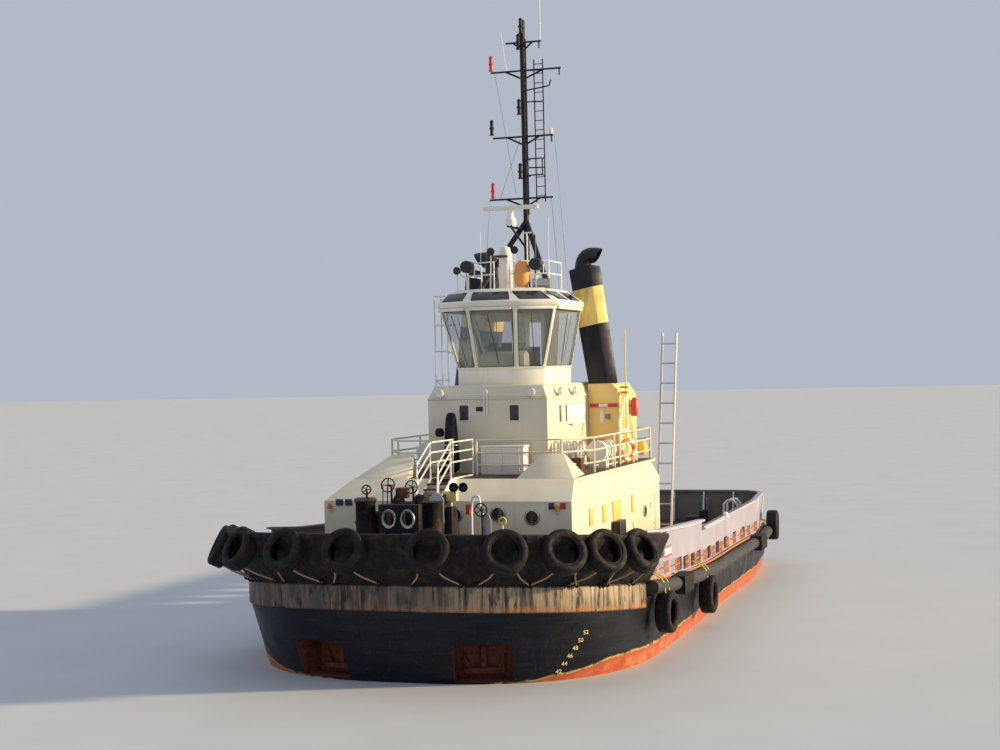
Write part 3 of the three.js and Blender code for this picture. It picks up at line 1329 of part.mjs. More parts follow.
const NOZZLE = { outer: 1270, inner: 1130, length: 980 };
const PROP = { radius: 1100, hub: 240 };
const legTop = THRUSTER.wellBottom - SEAM;
const nozzle = turned(
  [
    [NOZZLE.inner + 40, -NOZZLE.length / 2],
    [NOZZLE.outer - 60, -NOZZLE.length / 2],
    [NOZZLE.outer, NOZZLE.length * 0.2],
    [NOZZLE.outer - 40, NOZZLE.length / 2],
    [NOZZLE.inner, NOZZLE.length / 2 - 40],
    [NOZZLE.inner, 0],
    [NOZZLE.inner + 40, -NOZZLE.length / 2],
  ],
  20,
).rotate([0, 90, 0]);
const PROP_X = -650; // propeller plane, aft of the slewing axis
const POD_AFT = -390;
const thrusterShape = join([
  bar([0, 0, legTop - THRUSTER.z], [0, 0, 0], 250, 10),
  bar([0, 0, legTop - THRUSTER.z], [0, 0, legTop - THRUSTER.z - 90], 560, 14),
  bar([POD_AFT, 0, 0], [650, 0, 0], 300, 12),
  block(-385, -185, -60, 60, -1180, 1180),
  block(-385, -185, -1180, 1180, -60, 60),
  nozzle.translate([PROP_X, 0, 0]),
]);
const propellerSweep = bar([PROP_X - 420, 0, 0], [POD_AFT, 0, 0], PROP.radius + 12, 24);
const thruster = thrusterShape.subtract(propellerSweep);
const tip = PROP.radius - 12;
const blade = (angle) =>
  loft([
    [[-110, -170, 150], [110, -60, 150], [140, 170, 150], [-90, 60, 150]],
    [[-190, -260, 700], [120, -170, 700], [160, 260, 700], [-130, 200, 700]],
    [[-150, -160, tip], [60, -100, tip], [100, 160, tip], [-60, 140, tip]],
  ]).rotate([angle, 0, 0]);
const propeller = join([
  bar([-300, 0, 0], [POD_AFT - SEAM - PROP_X, 0, 0], PROP.hub, 12),
  ...[0, 90, 180, 270].map(blade),
]).translate([PROP_X, 0, 0]);
const place = (shape) => shape.translate([THRUSTER.x, THRUSTER.y, THRUSTER.z]);
pair("thruster", place(thruster), GREY);
pair("propeller", place(propeller), BRONZE);

export default tug;
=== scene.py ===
# A harbour tug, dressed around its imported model.
# Metres. +X to the bow, +Y to port, +Z up from the waterline.
import math

import bpy
from mathutils import Matrix, Vector


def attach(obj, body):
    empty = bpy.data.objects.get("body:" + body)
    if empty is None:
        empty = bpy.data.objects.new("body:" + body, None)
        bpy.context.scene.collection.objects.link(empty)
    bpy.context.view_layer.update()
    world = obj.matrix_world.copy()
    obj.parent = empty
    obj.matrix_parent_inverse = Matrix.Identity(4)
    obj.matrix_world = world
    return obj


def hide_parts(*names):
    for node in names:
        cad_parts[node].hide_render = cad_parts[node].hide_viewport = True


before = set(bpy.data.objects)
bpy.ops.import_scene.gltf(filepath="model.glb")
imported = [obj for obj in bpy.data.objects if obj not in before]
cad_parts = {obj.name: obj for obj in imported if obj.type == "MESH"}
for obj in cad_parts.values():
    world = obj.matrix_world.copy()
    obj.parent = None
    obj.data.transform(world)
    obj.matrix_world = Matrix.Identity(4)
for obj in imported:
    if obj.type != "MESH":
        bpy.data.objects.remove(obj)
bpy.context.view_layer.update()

# Driving sizes
BOW = 14.0
STERN = -14.2
HALF_BEAM = 5.6
KEEL = -4.05
SHOULDER = 7.5
STERN_RADIUS = 1.5
STERN_TAPER = 0.9
HOUSE_FRONT = 9.78
HOUSE_AFT = -0.7
HOUSE_HALF = 3.6
DECK_HALF = 3.3
KNUCKLE = 4.32
SLOPE_TOP = 8.4
BOAT_DECK = 4.85
UPPER_FRONT = 6.0
UPPER_HALF = 1.85
UPPER_TOP = 7.08
BRIDGE_DECK = 7.43
SILL = 7.87
EAVES = 9.78
ROOF = 10.33
CASING_TOP = 7.38
MAST_X = 1.65
# how far a fitting stands off the plating that carries it
HAIR = 0.001
SIDES = (("port", 1), ("starboard", -1))
# points of a mesh that are nearer than this are merged
MERGE = 0.0005


# Modelling

def only(*objects):
    """Select these objects alone, the first one active."""
    bpy.ops.object.select_all(action="DESELECT")
    for obj in objects:
        obj.select_set(True)
    bpy.context.view_layer.objects.active = objects[0]


def open_mesh(name):
    """An empty mesh in edit mode, for the primitives that are added next."""
    bpy.ops.object.select_all(action="DESELECT")
    bpy.ops.object.add(type="MESH", enter_editmode=True)
    piece = bpy.context.object
    piece.name = name
    return piece


def shaped(piece, kind, **settings):
    """Add a modifier with these settings and apply it."""
    only(piece)
    bpy.ops.object.modifier_add(type=kind)
    modifier = piece.modifiers[-1]
    for key, value in settings.items():
        setattr(modifier, key, value)
    bpy.ops.object.modifier_apply(modifier=modifier.name)
    return piece


def eased(piece, soft, angle=35):
    """Round the sharp edges by soft metres and smooth what is left."""
    if bpy.context.mode != "OBJECT":
        bpy.ops.object.mode_set(mode="OBJECT")
    if soft:
        shaped(
            piece, "BEVEL", width=soft, segments=2, limit_method="ANGLE",
            angle_limit=math.radians(angle), use_clamp_overlap=True, harden_normals=False,
        )
    only(piece)
    bpy.ops.object.shade_smooth_by_angle(angle=math.radians(angle))
    return piece


def mended(piece, closed=True):
    """Merge what touches, close the open ends and turn the faces outwards."""
    only(piece)
    bpy.ops.object.mode_set(mode="EDIT")
    bpy.ops.mesh.select_all(action="SELECT")
    bpy.ops.mesh.remove_doubles(threshold=MERGE)
    if closed:
        bpy.ops.mesh.fill_holes(sides=0)
    bpy.ops.mesh.delete_loose()
    bpy.ops.mesh.select_all(action="SELECT")
    bpy.ops.mesh.normals_make_consistent(inside=False)
    bpy.ops.object.mode_set(mode="OBJECT")
    return piece


def joined(name, pieces):
    """One mesh from several."""
    only(*pieces)
    if len(pieces) > 1:
        bpy.ops.object.join()
    pieces[0].name = name
    return pieces[0]


def copied(piece, matrix=Matrix.Identity(4), name=None):
    """A copy with a mesh of its own, moved by a matrix."""
    twin = piece.copy()
    twin.data = piece.data.copy()
    twin.data.transform(matrix)
    bpy.context.scene.collection.objects.link(twin)
    twin.name = name or piece.name
    return twin


def mirrored(piece, name=None):
    """The same piece on the other side of the boat."""
    twin = copied(piece, Matrix.Scale(-1, 4, (0, 1, 0)), name)
    twin.data.flip_normals()
    return twin


def spread(name, piece, matrices):
    """Copies of a piece at each place, in one mesh, without the pattern piece itself."""
    copies = [copied(piece, matrix) for matrix in matrices]
    bpy.data.objects.remove(piece)
    return joined(name, copies)


def facing(point, out, up=(0, 0, 1)):
    """The place whose +X looks out from a point, with +Z as near up as it can be."""
    x = Vector(out).normalized()
    y = Vector(up).cross(x).normalized()
    turn = Matrix((x, y, x.cross(y))).transposed().to_4x4()
    return Matrix.Translation(point) @ turn


def cube(low, high):
    """A cube primitive between two corners, added to the mesh that is open."""
    middle = [(a + b) / 2 for a, b in zip(low, high)]
    size = [abs(b - a) for a, b in zip(low, high)]
    bpy.ops.mesh.primitive_cube_add(size=1, location=middle, scale=size)


def boxes(name, corners, soft=0.012):
    """Blocks between opposite corners, in one mesh with eased edges."""
    piece = open_mesh(name)
    for low, high in corners:
        cube(low, high)
    return eased(piece, soft)


def rounded(points, radius):
    """The points of a line with each inner corner turned on an arc."""
    if len(points) < 3 or not radius:
        return points
    line = [Vector(points[0])]
    for before, at, after in zip(points, points[1:-1], points[2:]):
        at = Vector(at)
        back = Vector(before) - at
        ahead = Vector(after) - at
        reach = min(radius, back.length * 0.45, ahead.length * 0.45)
        a = at + back.normalized() * reach
        b = at + ahead.normalized() * reach
        for k in range(5):
            t = k / 4
            line.append(a * (1 - t) ** 2 + at * 2 * t * (1 - t) + b * t ** 2)
    return line + [Vector(points[-1])]


def rods(name, runs, radius, sides=8, bend=0.0):
    """Round bars along lines of points, with closed ends."""
    bpy.ops.object.select_all(action="DESELECT")
    bpy.ops.curve.primitive_nurbs_path_add()
    piece = bpy.context.object
    piece.name = name
    curve = piece.data
    curve.splines.clear()
    for run in runs:
        points = rounded(run, bend)
        spline = curve.splines.new("POLY")
        spline.points.add(len(points) - 1)
        for knot, at in zip(spline.points, points):
            knot.co = (*at, 1)
    curve.bevel_depth = radius
    curve.bevel_resolution = (sides - 4) // 2
    curve.use_fill_caps = True
    bpy.ops.object.convert(target="MESH")
    return eased(bpy.context.object, 0)


def turned(name, profile, point=(0, 0, 0), axis=(0, 0, 1), steps=24, smooth=35):
    """A closed profile of radius, along, spun about an axis through a point."""
    axis = Vector(axis).normalized()
    side = axis.orthogonal().normalized()
    bpy.ops.object.select_all(action="DESELECT")
    bpy.ops.mesh.primitive_circle_add(vertices=len(profile))
    piece = bpy.context.object
    for vertex, (radius, along) in zip(piece.data.vertices, profile):
        vertex.co = Vector(point) + side * radius + axis * along
    bpy.ops.object.mode_set(mode="EDIT")
    bpy.ops.mesh.select_all(action="SELECT")
    bpy.ops.mesh.spin(steps=steps, angle=2 * math.pi, center=point, axis=axis)
    bpy.ops.object.mode_set(mode="OBJECT")
    piece.name = name
    return eased(mended(piece, closed=False), 0, smooth)


def drum(name, start, end, radius, lip=0.012, steps=24):
    """A round bar or drum between two points, with eased rims."""
    axis = Vector(end) - Vector(start)
    length = axis.length
    rim = [(radius - lip, 0), (radius, lip), (radius, length - lip), (radius - lip, length)]
    return turned(name, [(0, 0), *rim, (0, length)], start, axis, steps)


def hoop(name, radius, bar, sides, point, axis, steps):
    """A round bar bent into a ring about an axis."""
    angles = [k / sides * 2 * math.pi for k in range(sides)]
    profile = [(radius + bar * math.cos(a), bar * math.sin(a)) for a in angles]
    return turned(name, profile, point, axis, steps)


def skin(name, rings, closed=True):
    """A surface through rings of equal point counts: a grid whose rows are laid on the rings."""
    count = len(rings[0])
    bpy.ops.object.select_all(action="DESELECT")
    bpy.ops.mesh.primitive_grid_add(x_subdivisions=count, y_subdivisions=len(rings) - 1)
    piece = bpy.context.object
    piece.name = name
    for index, vertex in enumerate(piece.data.vertices):
        row, column = divmod(index, count + 1)
        vertex.co = rings[row][column % count]
    return mended(piece, closed)


def plate(name, corners, thick, corner_radius=0.0):
    """A flat plate on four corners, seen anticlockwise from outside, thickened outwards."""
    bpy.ops.object.select_all(action="DESELECT")
    bpy.ops.mesh.primitive_plane_add()
    piece = bpy.context.object
    piece.name = name
    for index, corner in zip((0, 1, 3, 2), corners):
        piece.data.vertices[index].co = corner
    if corner_radius:
        bpy.ops.object.mode_set(mode="EDIT")
        bpy.ops.mesh.select_all(action="SELECT")
        bpy.ops.mesh.bevel(offset=corner_radius, segments=4, affect="VERTICES")
        bpy.ops.object.mode_set(mode="OBJECT")
    shaped(piece, "SOLIDIFY", thickness=thick, offset=1)
    return eased(piece, min(0.006, thick * 0.3))


def slab(name, outline, axis, start, end, soft=0.01):
    """An outline of two coordinates pushed along the third, named x, y or z."""
    order = {"x": (1, 2, 0), "y": (0, 2, 1), "z": (0, 1, 2)}[axis]
    bpy.ops.object.select_all(action="DESELECT")
    bpy.ops.mesh.primitive_circle_add(vertices=len(outline), fill_type="NGON")
    piece = bpy.context.object
    piece.name = name
    for vertex, (u, v) in zip(piece.data.vertices, outline):
        for place, value in zip(order, (u, v, start)):
            vertex.co[place] = value
    push = [0, 0, 0]
    push[order[2]] = end - start
    bpy.ops.object.mode_set(mode="EDIT")
    bpy.ops.mesh.select_all(action="SELECT")
    bpy.ops.mesh.extrude_region_move(TRANSFORM_OT_translate={"value": push})
    bpy.ops.object.mode_set(mode="OBJECT")
    return eased(mended(piece), soft)


def cut(piece, cutter):
    """Take a cutter's shape out of a piece."""
    shaped(piece, "BOOLEAN", operation="DIFFERENCE", solver="EXACT", object=cutter)
    bpy.data.objects.remove(cutter)
    return piece


def built_in(piece, addition):
    """Fuse another solid to a piece."""
    shaped(piece, "BOOLEAN", operation="UNION", solver="EXACT", object=addition)
    bpy.data.objects.remove(addition)
    return piece


def dressed(node, soft=0.012, angle=35):
    """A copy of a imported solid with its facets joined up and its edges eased."""
    piece = copied(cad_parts[node], name=node + "_dressed")
    for key in list(piece.keys()):
        del piece[key]
    piece.parent = None
    mended(piece, closed=False)
    bpy.ops.object.mode_set(mode="EDIT")
    bpy.ops.mesh.dissolve_limited(angle_limit=math.radians(2))
    bpy.ops.object.mode_set(mode="OBJECT")
    return eased(piece, soft, angle)


def set_in(piece, finish, slot, *nodes, body="boat"):
    """Give a piece its finish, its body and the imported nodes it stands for."""
    if finish:
        piece.data.materials.clear()
        piece.data.materials.append(finish)
    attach(piece, body)
    if nodes:
        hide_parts(*nodes)
    return piece


def both_sides(port, finish, slot, node=None):
    """Set in a port piece and its mirror image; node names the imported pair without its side."""
    starboard = mirrored(port, port.name.replace("port", "starboard"))
    for piece, (side, _) in zip((port, starboard), SIDES):
        set_in(piece, finish, slot, *([node + "_" + side] if node else []))


def painted_faces(piece, finish, chosen):
    """Give a second finish to the faces that a test picks."""
    piece.data.materials.append(finish)
    number = len(piece.data.materials) - 1
    for face in piece.data.polygons:
        if chosen(face):
            face.material_index = number
    return piece


# Finishes

class Finish:
    """A finish laid up in coats over one colour; its patterns read the piece's own coordinates."""

    def __init__(self, name, colour, rough, metal=0.0, shine=0.5):
        self.material = bpy.data.materials.new(name)
        self.material.use_nodes = True
        self.nodes = self.material.node_tree.nodes
        self.links = self.material.node_tree.links
        self.shader = self.nodes["Principled BSDF"]
        self.shader.inputs["Roughness"].default_value = rough
        self.shader.inputs["Metallic"].default_value = metal
        self.shader.inputs["Specular IOR Level"].default_value = shine
        self.shader.inputs["Base Color"].default_value = (*colour, 1)
        self.place = self.nodes.new("ShaderNodeTexCoord").outputs["Object"]
        self.coat = None
        self.relief = None

    def plug(self, value, socket):
        """Link a value that varies, or set one that doesn't."""
        if isinstance(value, bpy.types.NodeSocket):
            self.links.new(value, socket)
        else:
            socket.default_value = value

    def math(self, operation, *values):
        """A sum on values that may vary over the surface."""
        node = self.nodes.new("ShaderNodeMath")
        node.operation = operation
        for value, socket in zip(values, node.inputs):
            self.plug(value, socket)
        return node.outputs[0]

    def between(self, value, low, high):
        """0 below low, 1 above high, or the other way round where low is the larger."""
        node = self.nodes.new("ShaderNodeMapRange")
        self.plug(value, node.inputs["Value"])
        node.inputs["From Min"].default_value = low
        node.inputs["From Max"].default_value = high
        return node.outputs["Result"]

    def axis(self, name):
        """The distance along X, Y or Z."""
        node = self.nodes.new("ShaderNodeSeparateXYZ")
        self.links.new(self.place, node.inputs[0])
        return node.outputs[name]

    def cloud(self, size, low=0.45, high=0.6, detail=5.0, offset=0.0):
        """Patches about size metres across, a number or one for each axis."""
        sizes = size if isinstance(size, tuple) else (size, size, size)
        mapping = self.nodes.new("ShaderNodeMapping")
        mapping.inputs["Scale"].default_value = [1 / s for s in sizes]
        mapping.inputs["Location"].default_value = (offset, offset * 2, offset * 3)
        self.links.new(self.place, mapping.inputs["Vector"])
        texture = self.nodes.new("ShaderNodeTexNoise")
        texture.inputs["Scale"].default_value = 1.0
        texture.inputs["Detail"].default_value = detail
        self.links.new(mapping.outputs[0], texture.inputs["Vector"])
        return self.between(texture.outputs[0], low, high)

    def over(self, colour, share):
        """Lay a colour over what is there, by a share that varies."""
        mix = self.nodes.new("ShaderNodeMix")
        mix.data_type = "RGBA"
        self.links.new(share, mix.inputs["Factor"])
        base = self.shader.inputs["Base Color"]
        self.plug(self.coat or tuple(base.default_value), mix.inputs["A"])
        mix.inputs["B"].default_value = (*colour, 1)
        self.coat = mix.outputs["Result"]
        self.links.new(self.coat, base)
        return self

    def roughened(self, share, low, high):
        """Roughness that runs from low to high by a share that varies."""
        node = self.nodes.new("ShaderNodeMapRange")
        self.links.new(share, node.inputs["Value"])
        node.inputs["To Min"].default_value = low
        node.inputs["To Max"].default_value = high
        self.links.new(node.outputs["Result"], self.shader.inputs["Roughness"])
        return self

    def raised(self, height, depth):
        """Relief of a depth in metres, on top of any relief before it."""
        bump = self.nodes.new("ShaderNodeBump")
        bump.inputs["Distance"].default_value = depth
        bump.inputs["Strength"].default_value = 1.0
        self.links.new(height, bump.inputs["Height"])
        if self.relief:
            self.links.new(self.relief, bump.inputs["Normal"])
        self.relief = bump.outputs[0]
        self.links.new(self.relief, self.shader.inputs["Normal"])
        return self


def plain_paint(name, colour, rough=0.5, dirt=(0.30, 0.22, 0.12), amount=0.35, metal=0.0):
    """Paint with faint clouding, thin dirt runs and a brushed surface."""
    paint = Finish(name, colour, rough, metal)
    pale = tuple(min(1.0, c * 1.12 + 0.01) for c in colour)
    paint.over(pale, paint.cloud(0.9, 0.35, 0.7))
    runs = paint.cloud((0.07, 0.07, 0.9), 0.58, 0.8, offset=3.0)
    paint.over(dirt, paint.math("MULTIPLY", runs, amount))
    spots = paint.cloud(0.05, 0.72, 0.8, detail=2.0, offset=7.0)
    paint.over(dirt, paint.math("MULTIPLY", spots, amount))
    paint.roughened(paint.cloud(0.25, 0.3, 0.7), rough - 0.08, min(1.0, rough + 0.12))
    paint.raised(paint.cloud(0.02, 0.2, 0.8, detail=2.0), 0.0012)
    paint.raised(paint.cloud(0.6, 0.2, 0.8, detail=1.0), 0.006)
    return paint.material


def hull_finish():
    """Navy topsides over an orange-red bottom, with a weathered yellow line between them."""
    paint = Finish("hull_navy", (0.0045, 0.006, 0.012), 0.42, shine=0.22)
    paint.over((0.011, 0.014, 0.026), paint.cloud((1.4, 1.4, 0.35), 0.45, 0.75))
    scuff = paint.cloud((0.9, 0.9, 0.03), 0.60, 0.72, offset=2.0)
    paint.over((0.045, 0.045, 0.055), paint.math("MULTIPLY", scuff, 0.5))
    runs = paint.cloud((0.06, 0.06, 1.6), 0.60, 0.72, offset=5.0)
    paint.over((0.06, 0.026, 0.014), paint.math("MULTIPLY", runs, 0.6))
    height = paint.axis("Z")
    aft = paint.between(paint.axis("X"), 13.3, 11.0)
    ragged = paint.math("MULTIPLY", paint.cloud((0.5, 0.5, 0.2), 0.2, 0.8), 0.10)
    sunk = paint.math("SUBTRACT", ragged, 0.13)
    edge = paint.math("ADD", paint.math("MULTIPLY", aft, 0.47), sunk)
    depth = paint.math("SUBTRACT", height, edge)
    line = paint.between(depth, 0.07, 0.03)
    paint.over((0.50, 0.36, 0.13), paint.math("MULTIPLY", line, paint.cloud(0.25, 0.35, 0.5)))
    paint.over((0.42, 0.085, 0.035), paint.between(depth, 0.02, -0.01))
    faded = paint.math("MULTIPLY", paint.between(depth, 0.0, -0.15), paint.cloud(0.35, 0.4, 0.7, offset=9.0))
    paint.over((0.55, 0.19, 0.09), faded)
    paint.roughened(paint.cloud(0.5, 0.3, 0.7), 0.30, 0.55)
    paint.raised(paint.cloud((1.2, 1.2, 0.7), 0.2, 0.8, detail=1.0), 0.03)
    paint.raised(paint.cloud(0.03, 0.2, 0.8, detail=2.0), 0.002)
    return paint.material


def belt_finish():
    """Bare steel worn in upright streaks, with rust in the hollows; the pale streaks go on the port side
    alone and the rust thins out to starboard, which is painted sunlight to port and painted shade to
    starboard.
    """
    steel = Finish("belt_steel", (0.075, 0.062, 0.056), 0.5, 0.15, 0.35)
    steel.over((0.16, 0.135, 0.115), steel.cloud((0.30, 0.30, 1.2), 0.48, 0.66))
    steel.over((0.020, 0.019, 0.024), steel.cloud((0.22, 0.22, 0.5), 0.52, 0.64, offset=4.0))
    steel.over((0.30, 0.15, 0.06), steel.cloud((0.09, 0.09, 0.7), 0.58, 0.70, offset=8.0))
    # the port side is the sunlit side: the pale tan streaks go only there, real wear with painted sunlight on
    # it
    sunlit_port_side = steel.between(steel.axis("Y"), 0.2, 2.4)
    wear_and_sunlit_streaks = steel.math("MULTIPLY", sunlit_port_side, steel.cloud((0.10, 0.10, 1.3), 0.40, 0.56, offset=12.0))
    steel.over((0.42, 0.32, 0.20), steel.math("MULTIPLY", wear_and_sunlit_streaks, 0.85))
    black = steel.math("MULTIPLY", sunlit_port_side, steel.cloud((0.13, 0.13, 0.5), 0.57, 0.66, offset=17.0))
    steel.over((0.035, 0.030, 0.032), black)
    height = steel.math("SUBTRACT", steel.axis("Z"), steel.math("MULTIPLY", steel.axis("X"), 0.09))
    low = steel.between(height, 0.86, 0.74)
    rust = steel.math("MULTIPLY", low, steel.cloud((0.10, 0.10, 0.25), 0.40, 0.58, offset=21.0))
    # rust fades out towards starboard: real rust, with painted shade on the starboard side
    rust = steel.math("MULTIPLY", rust, steel.between(steel.axis("Y"), -2.0, 3.5))
    steel.over((0.46, 0.18, 0.05), steel.math("MULTIPLY", rust, 0.85))
    steel.roughened(steel.cloud((0.08, 0.08, 0.8), 0.3, 0.7), 0.38, 0.66)
    steel.raised(steel.cloud((0.05, 0.05, 0.6), 0.2, 0.8), 0.006)
    steel.raised(steel.cloud((0.8, 0.8, 0.5), 0.2, 0.8, detail=1.0), 0.02)
    return steel.material


def rubber_finish(name="rubber", colour=(0.0075, 0.0070, 0.0072)):
    """Rubber scuffed brown, with pale chalky grazes."""
    rubber = Finish(name, colour, 0.66, shine=0.28)
    rubber.over((0.034, 0.024, 0.019), rubber.cloud(0.22, 0.50, 0.72))
    rubber.over((0.085, 0.070, 0.058), rubber.cloud((0.05, 0.05, 0.03), 0.67, 0.77, offset=5.0))
    rubber.roughened(rubber.cloud(0.15, 0.3, 0.7), 0.55, 0.85)
    rubber.raised(rubber.cloud(0.03, 0.3, 0.7), 0.004)
    rubber.raised(rubber.cloud(0.2, 0.3, 0.7), 0.012)
    return rubber.material


def deck_finish():
    """Dark deck paint worn brown along the walkways."""
    deck = Finish("deck_paint", (0.065, 0.042, 0.032), 0.75)
    deck.over((0.12, 0.065, 0.04), deck.cloud(0.8, 0.4, 0.65))
    deck.over((0.035, 0.03, 0.03), deck.cloud(0.25, 0.5, 0.7, offset=4.0))
    deck.raised(deck.cloud(0.012, 0.3, 0.7, detail=2.0), 0.002)
    return deck.material


def house_finish():
    """Cream house paint, rusty along its foot."""
    paint = Finish("house_cream", (0.72, 0.66, 0.50), 0.46, shine=0.35)
    paint.over((0.78, 0.73, 0.58), paint.cloud(1.2, 0.35, 0.7))
    low = paint.between(paint.axis("Z"), 3.1, 1.9)
    foot = paint.math("MULTIPLY", low, paint.cloud((0.12, 0.12, 0.5), 0.42, 0.6, offset=6.0))
    paint.over((0.42, 0.20, 0.06), paint.math("MULTIPLY", foot, 0.8))
    runs = paint.cloud((0.05, 0.05, 1.1), 0.60, 0.78, offset=3.0)
    paint.over((0.46, 0.33, 0.17), paint.math("MULTIPLY", runs, 0.35))
    paint.roughened(paint.cloud(0.4, 0.3, 0.7), 0.38, 0.58)
    paint.raised(paint.cloud((0.7, 0.7, 0.5), 0.2, 0.8, detail=1.0), 0.010)
    paint.raised(paint.cloud(0.015, 0.2, 0.8, detail=2.0), 0.001)
    return paint.material


def funnel_finish():
    """Near-black funnel with one yellow band."""
    paint = Finish("funnel_bands", (0.007, 0.008, 0.016), 0.38, shine=0.3)
    paint.over((0.016, 0.018, 0.028), paint.cloud(0.6, 0.4, 0.7))
    sideways = paint.math("ABSOLUTE", paint.axis("Y"))
    height = paint.math("SUBTRACT", paint.axis("Z"), paint.math("MULTIPLY", sideways, 0.2))
    band = paint.math("MULTIPLY", paint.between(height, 8.83, 8.84), paint.between(height, 10.05, 10.04))
    paint.over((0.86, 0.66, 0.22), band)
    soot = paint.math("MULTIPLY", paint.cloud((0.15, 0.15, 0.8), 0.5, 0.8, offset=2.0), 0.5)
    paint.over((0.03, 0.026, 0.024), soot)
    paint.roughened(paint.cloud(0.4, 0.3, 0.7), 0.28, 0.5)
    paint.raised(paint.cloud(0.5, 0.2, 0.8, detail=1.0), 0.008)
    return paint.material


def iron_finish(name, colour, rust, share=0.5, rough=0.6, metal=0.4):
    """Black or galvanised gear that has begun to rust."""
    iron = Finish(name, colour, rough, metal, 0.35)
    iron.over(rust, iron.cloud(0.14, 1.0 - share, 1.15 - share))
    iron.over(tuple(c * 2.2 + 0.02 for c in colour), iron.cloud(0.05, 0.62, 0.72, offset=4.0))
    iron.roughened(iron.cloud(0.1, 0.3, 0.7), rough - 0.15, rough + 0.15)
    iron.raised(iron.cloud(0.02, 0.3, 0.7), 0.003)
    return iron.material


def glass_finish(name, colour, alpha, rough=0.05):
    """Glass with a faint film of salt."""
    glass = Finish(name, colour, rough)
    glass.over(tuple(min(1.0, c * 1.5 + 0.03) for c in colour), glass.cloud(0.3, 0.5, 0.8))
    glass.roughened(glass.cloud(0.2, 0.3, 0.8), rough, rough + 0.06)
    glass.shader.inputs["Alpha"].default_value = alpha
    return glass.material


HULL = hull_finish()
BELT = belt_finish()
RUBBER = rubber_finish()
GREY_RUBBER = rubber_finish("grey_rubber", (0.060, 0.062, 0.072))
DECK = deck_finish()
CREAM = house_finish()
WHITE = plain_paint("gloss_white", (0.82, 0.80, 0.74), 0.38, amount=0.25)
ROOF_CREAM = plain_paint("roof_cream", (0.84, 0.81, 0.68), 0.42, amount=0.2)
CASING_YELLOW = plain_paint("casing_yellow", (0.83, 0.60, 0.22), 0.45, amount=0.4)
FUNNEL = funnel_finish()
MAST = iron_finish("mast_black", (0.016, 0.012, 0.012), (0.055, 0.036, 0.028), 0.45, 0.5, 0.1)
IRON = iron_finish("gear_iron", (0.016, 0.014, 0.014), (0.075, 0.034, 0.022), 0.45)
COPPER_RUST = iron_finish("worn_drum", (0.11, 0.05, 0.032), (0.27, 0.12, 0.06), 0.45, 0.5, 0.4)
ANCHOR_RUST = iron_finish("anchor_rust", (0.20, 0.06, 0.035), (0.09, 0.04, 0.03), 0.5, 0.8, 0.2)
BRIGHT = iron_finish("bright_steel", (0.48, 0.47, 0.46), (0.30, 0.24, 0.20), 0.35, 0.35, 0.9)
LILAC = plain_paint("bulwark_lilac", (0.36, 0.34, 0.44), 0.55, (0.34, 0.17, 0.08), 0.5)
CAP = plain_paint("bulwark_cap", (0.52, 0.50, 0.58), 0.5, (0.36, 0.22, 0.12), 0.4)
BULWARK_IN = plain_paint("bulwark_inside", (0.17, 0.15, 0.14), 0.65, (0.22, 0.11, 0.05), 0.6)
ORANGE_RAW = plain_paint("primer_orange", (0.66, 0.22, 0.05), 0.6, (0.30, 0.11, 0.04), 0.6)
YELLOW = plain_paint("signal_yellow", (0.86, 0.62, 0.10), 0.45)
BLACK = plain_paint("gear_black", (0.011, 0.011, 0.013), 0.45, (0.09, 0.07, 0.05), 0.4)
RED = plain_paint("signal_red", (0.55, 0.045, 0.03), 0.42)
GREY = plain_paint("fitting_grey", (0.20, 0.20, 0.21), 0.5)
CONSOLE = plain_paint("console_olive", (0.45, 0.43, 0.33), 0.55, amount=0.15)
SEAT = rubber_finish("seat_vinyl", (0.035, 0.037, 0.045))
ALLOY = plain_paint("ladder_alloy", (0.62, 0.60, 0.58), 0.4, (0.30, 0.26, 0.22), 0.35, 0.6)
BRONZE = iron_finish("propeller_bronze", (0.42, 0.27, 0.11), (0.22, 0.20, 0.12), 0.4, 0.4, 0.9)
YELLOW_SHUTTER = plain_paint("shutter_gold", (0.80, 0.55, 0.14), 0.45, amount=0.5)
PURPLE = plain_paint("board_purple", (0.05, 0.035, 0.07), 0.5)
CANVAS = rubber_finish("black_canvas", (0.010, 0.009, 0.010))
BUOY_ORANGE = plain_paint("buoy_orange", (0.80, 0.20, 0.05), 0.55)
BEACON_ORANGE = plain_paint("beacon_orange", (0.78, 0.33, 0.08), 0.45)
PALE_STEEL = plain_paint("pale_steel", (0.42, 0.41, 0.40), 0.45, (0.24, 0.14, 0.08), 0.6)
THRUSTER = iron_finish("thruster_paint", (0.30, 0.07, 0.04), (0.16, 0.10, 0.07), 0.45, 0.6, 0.0)
ROPE = plain_paint("strop_tan", (0.34, 0.24, 0.16), 0.85, (0.20, 0.12, 0.06), 0.6)
# pale blue-grey glass colour: partly the glass's own tint, partly a painted reflection of the sky
GLASS_WITH_PAINTED_SKY = glass_finish("glass_painted_sky_reflection", (0.40, 0.46, 0.46), 0.20)
DARK_GLASS = glass_finish("dark_glass", (0.030, 0.030, 0.034), 1.0, 0.08)
MARK_YELLOW = plain_paint("mark_yellow", (0.80, 0.66, 0.30), 0.5)


# The hull's lines

# x and height of the deck edge at each kink of its sheer, forward to aft
SHEER = [(14.0, 2.62), (7.5, 2.01), (3.75, 1.78), (0.0, 1.66), (-3.0, 1.62), (-14.4, 1.62)]
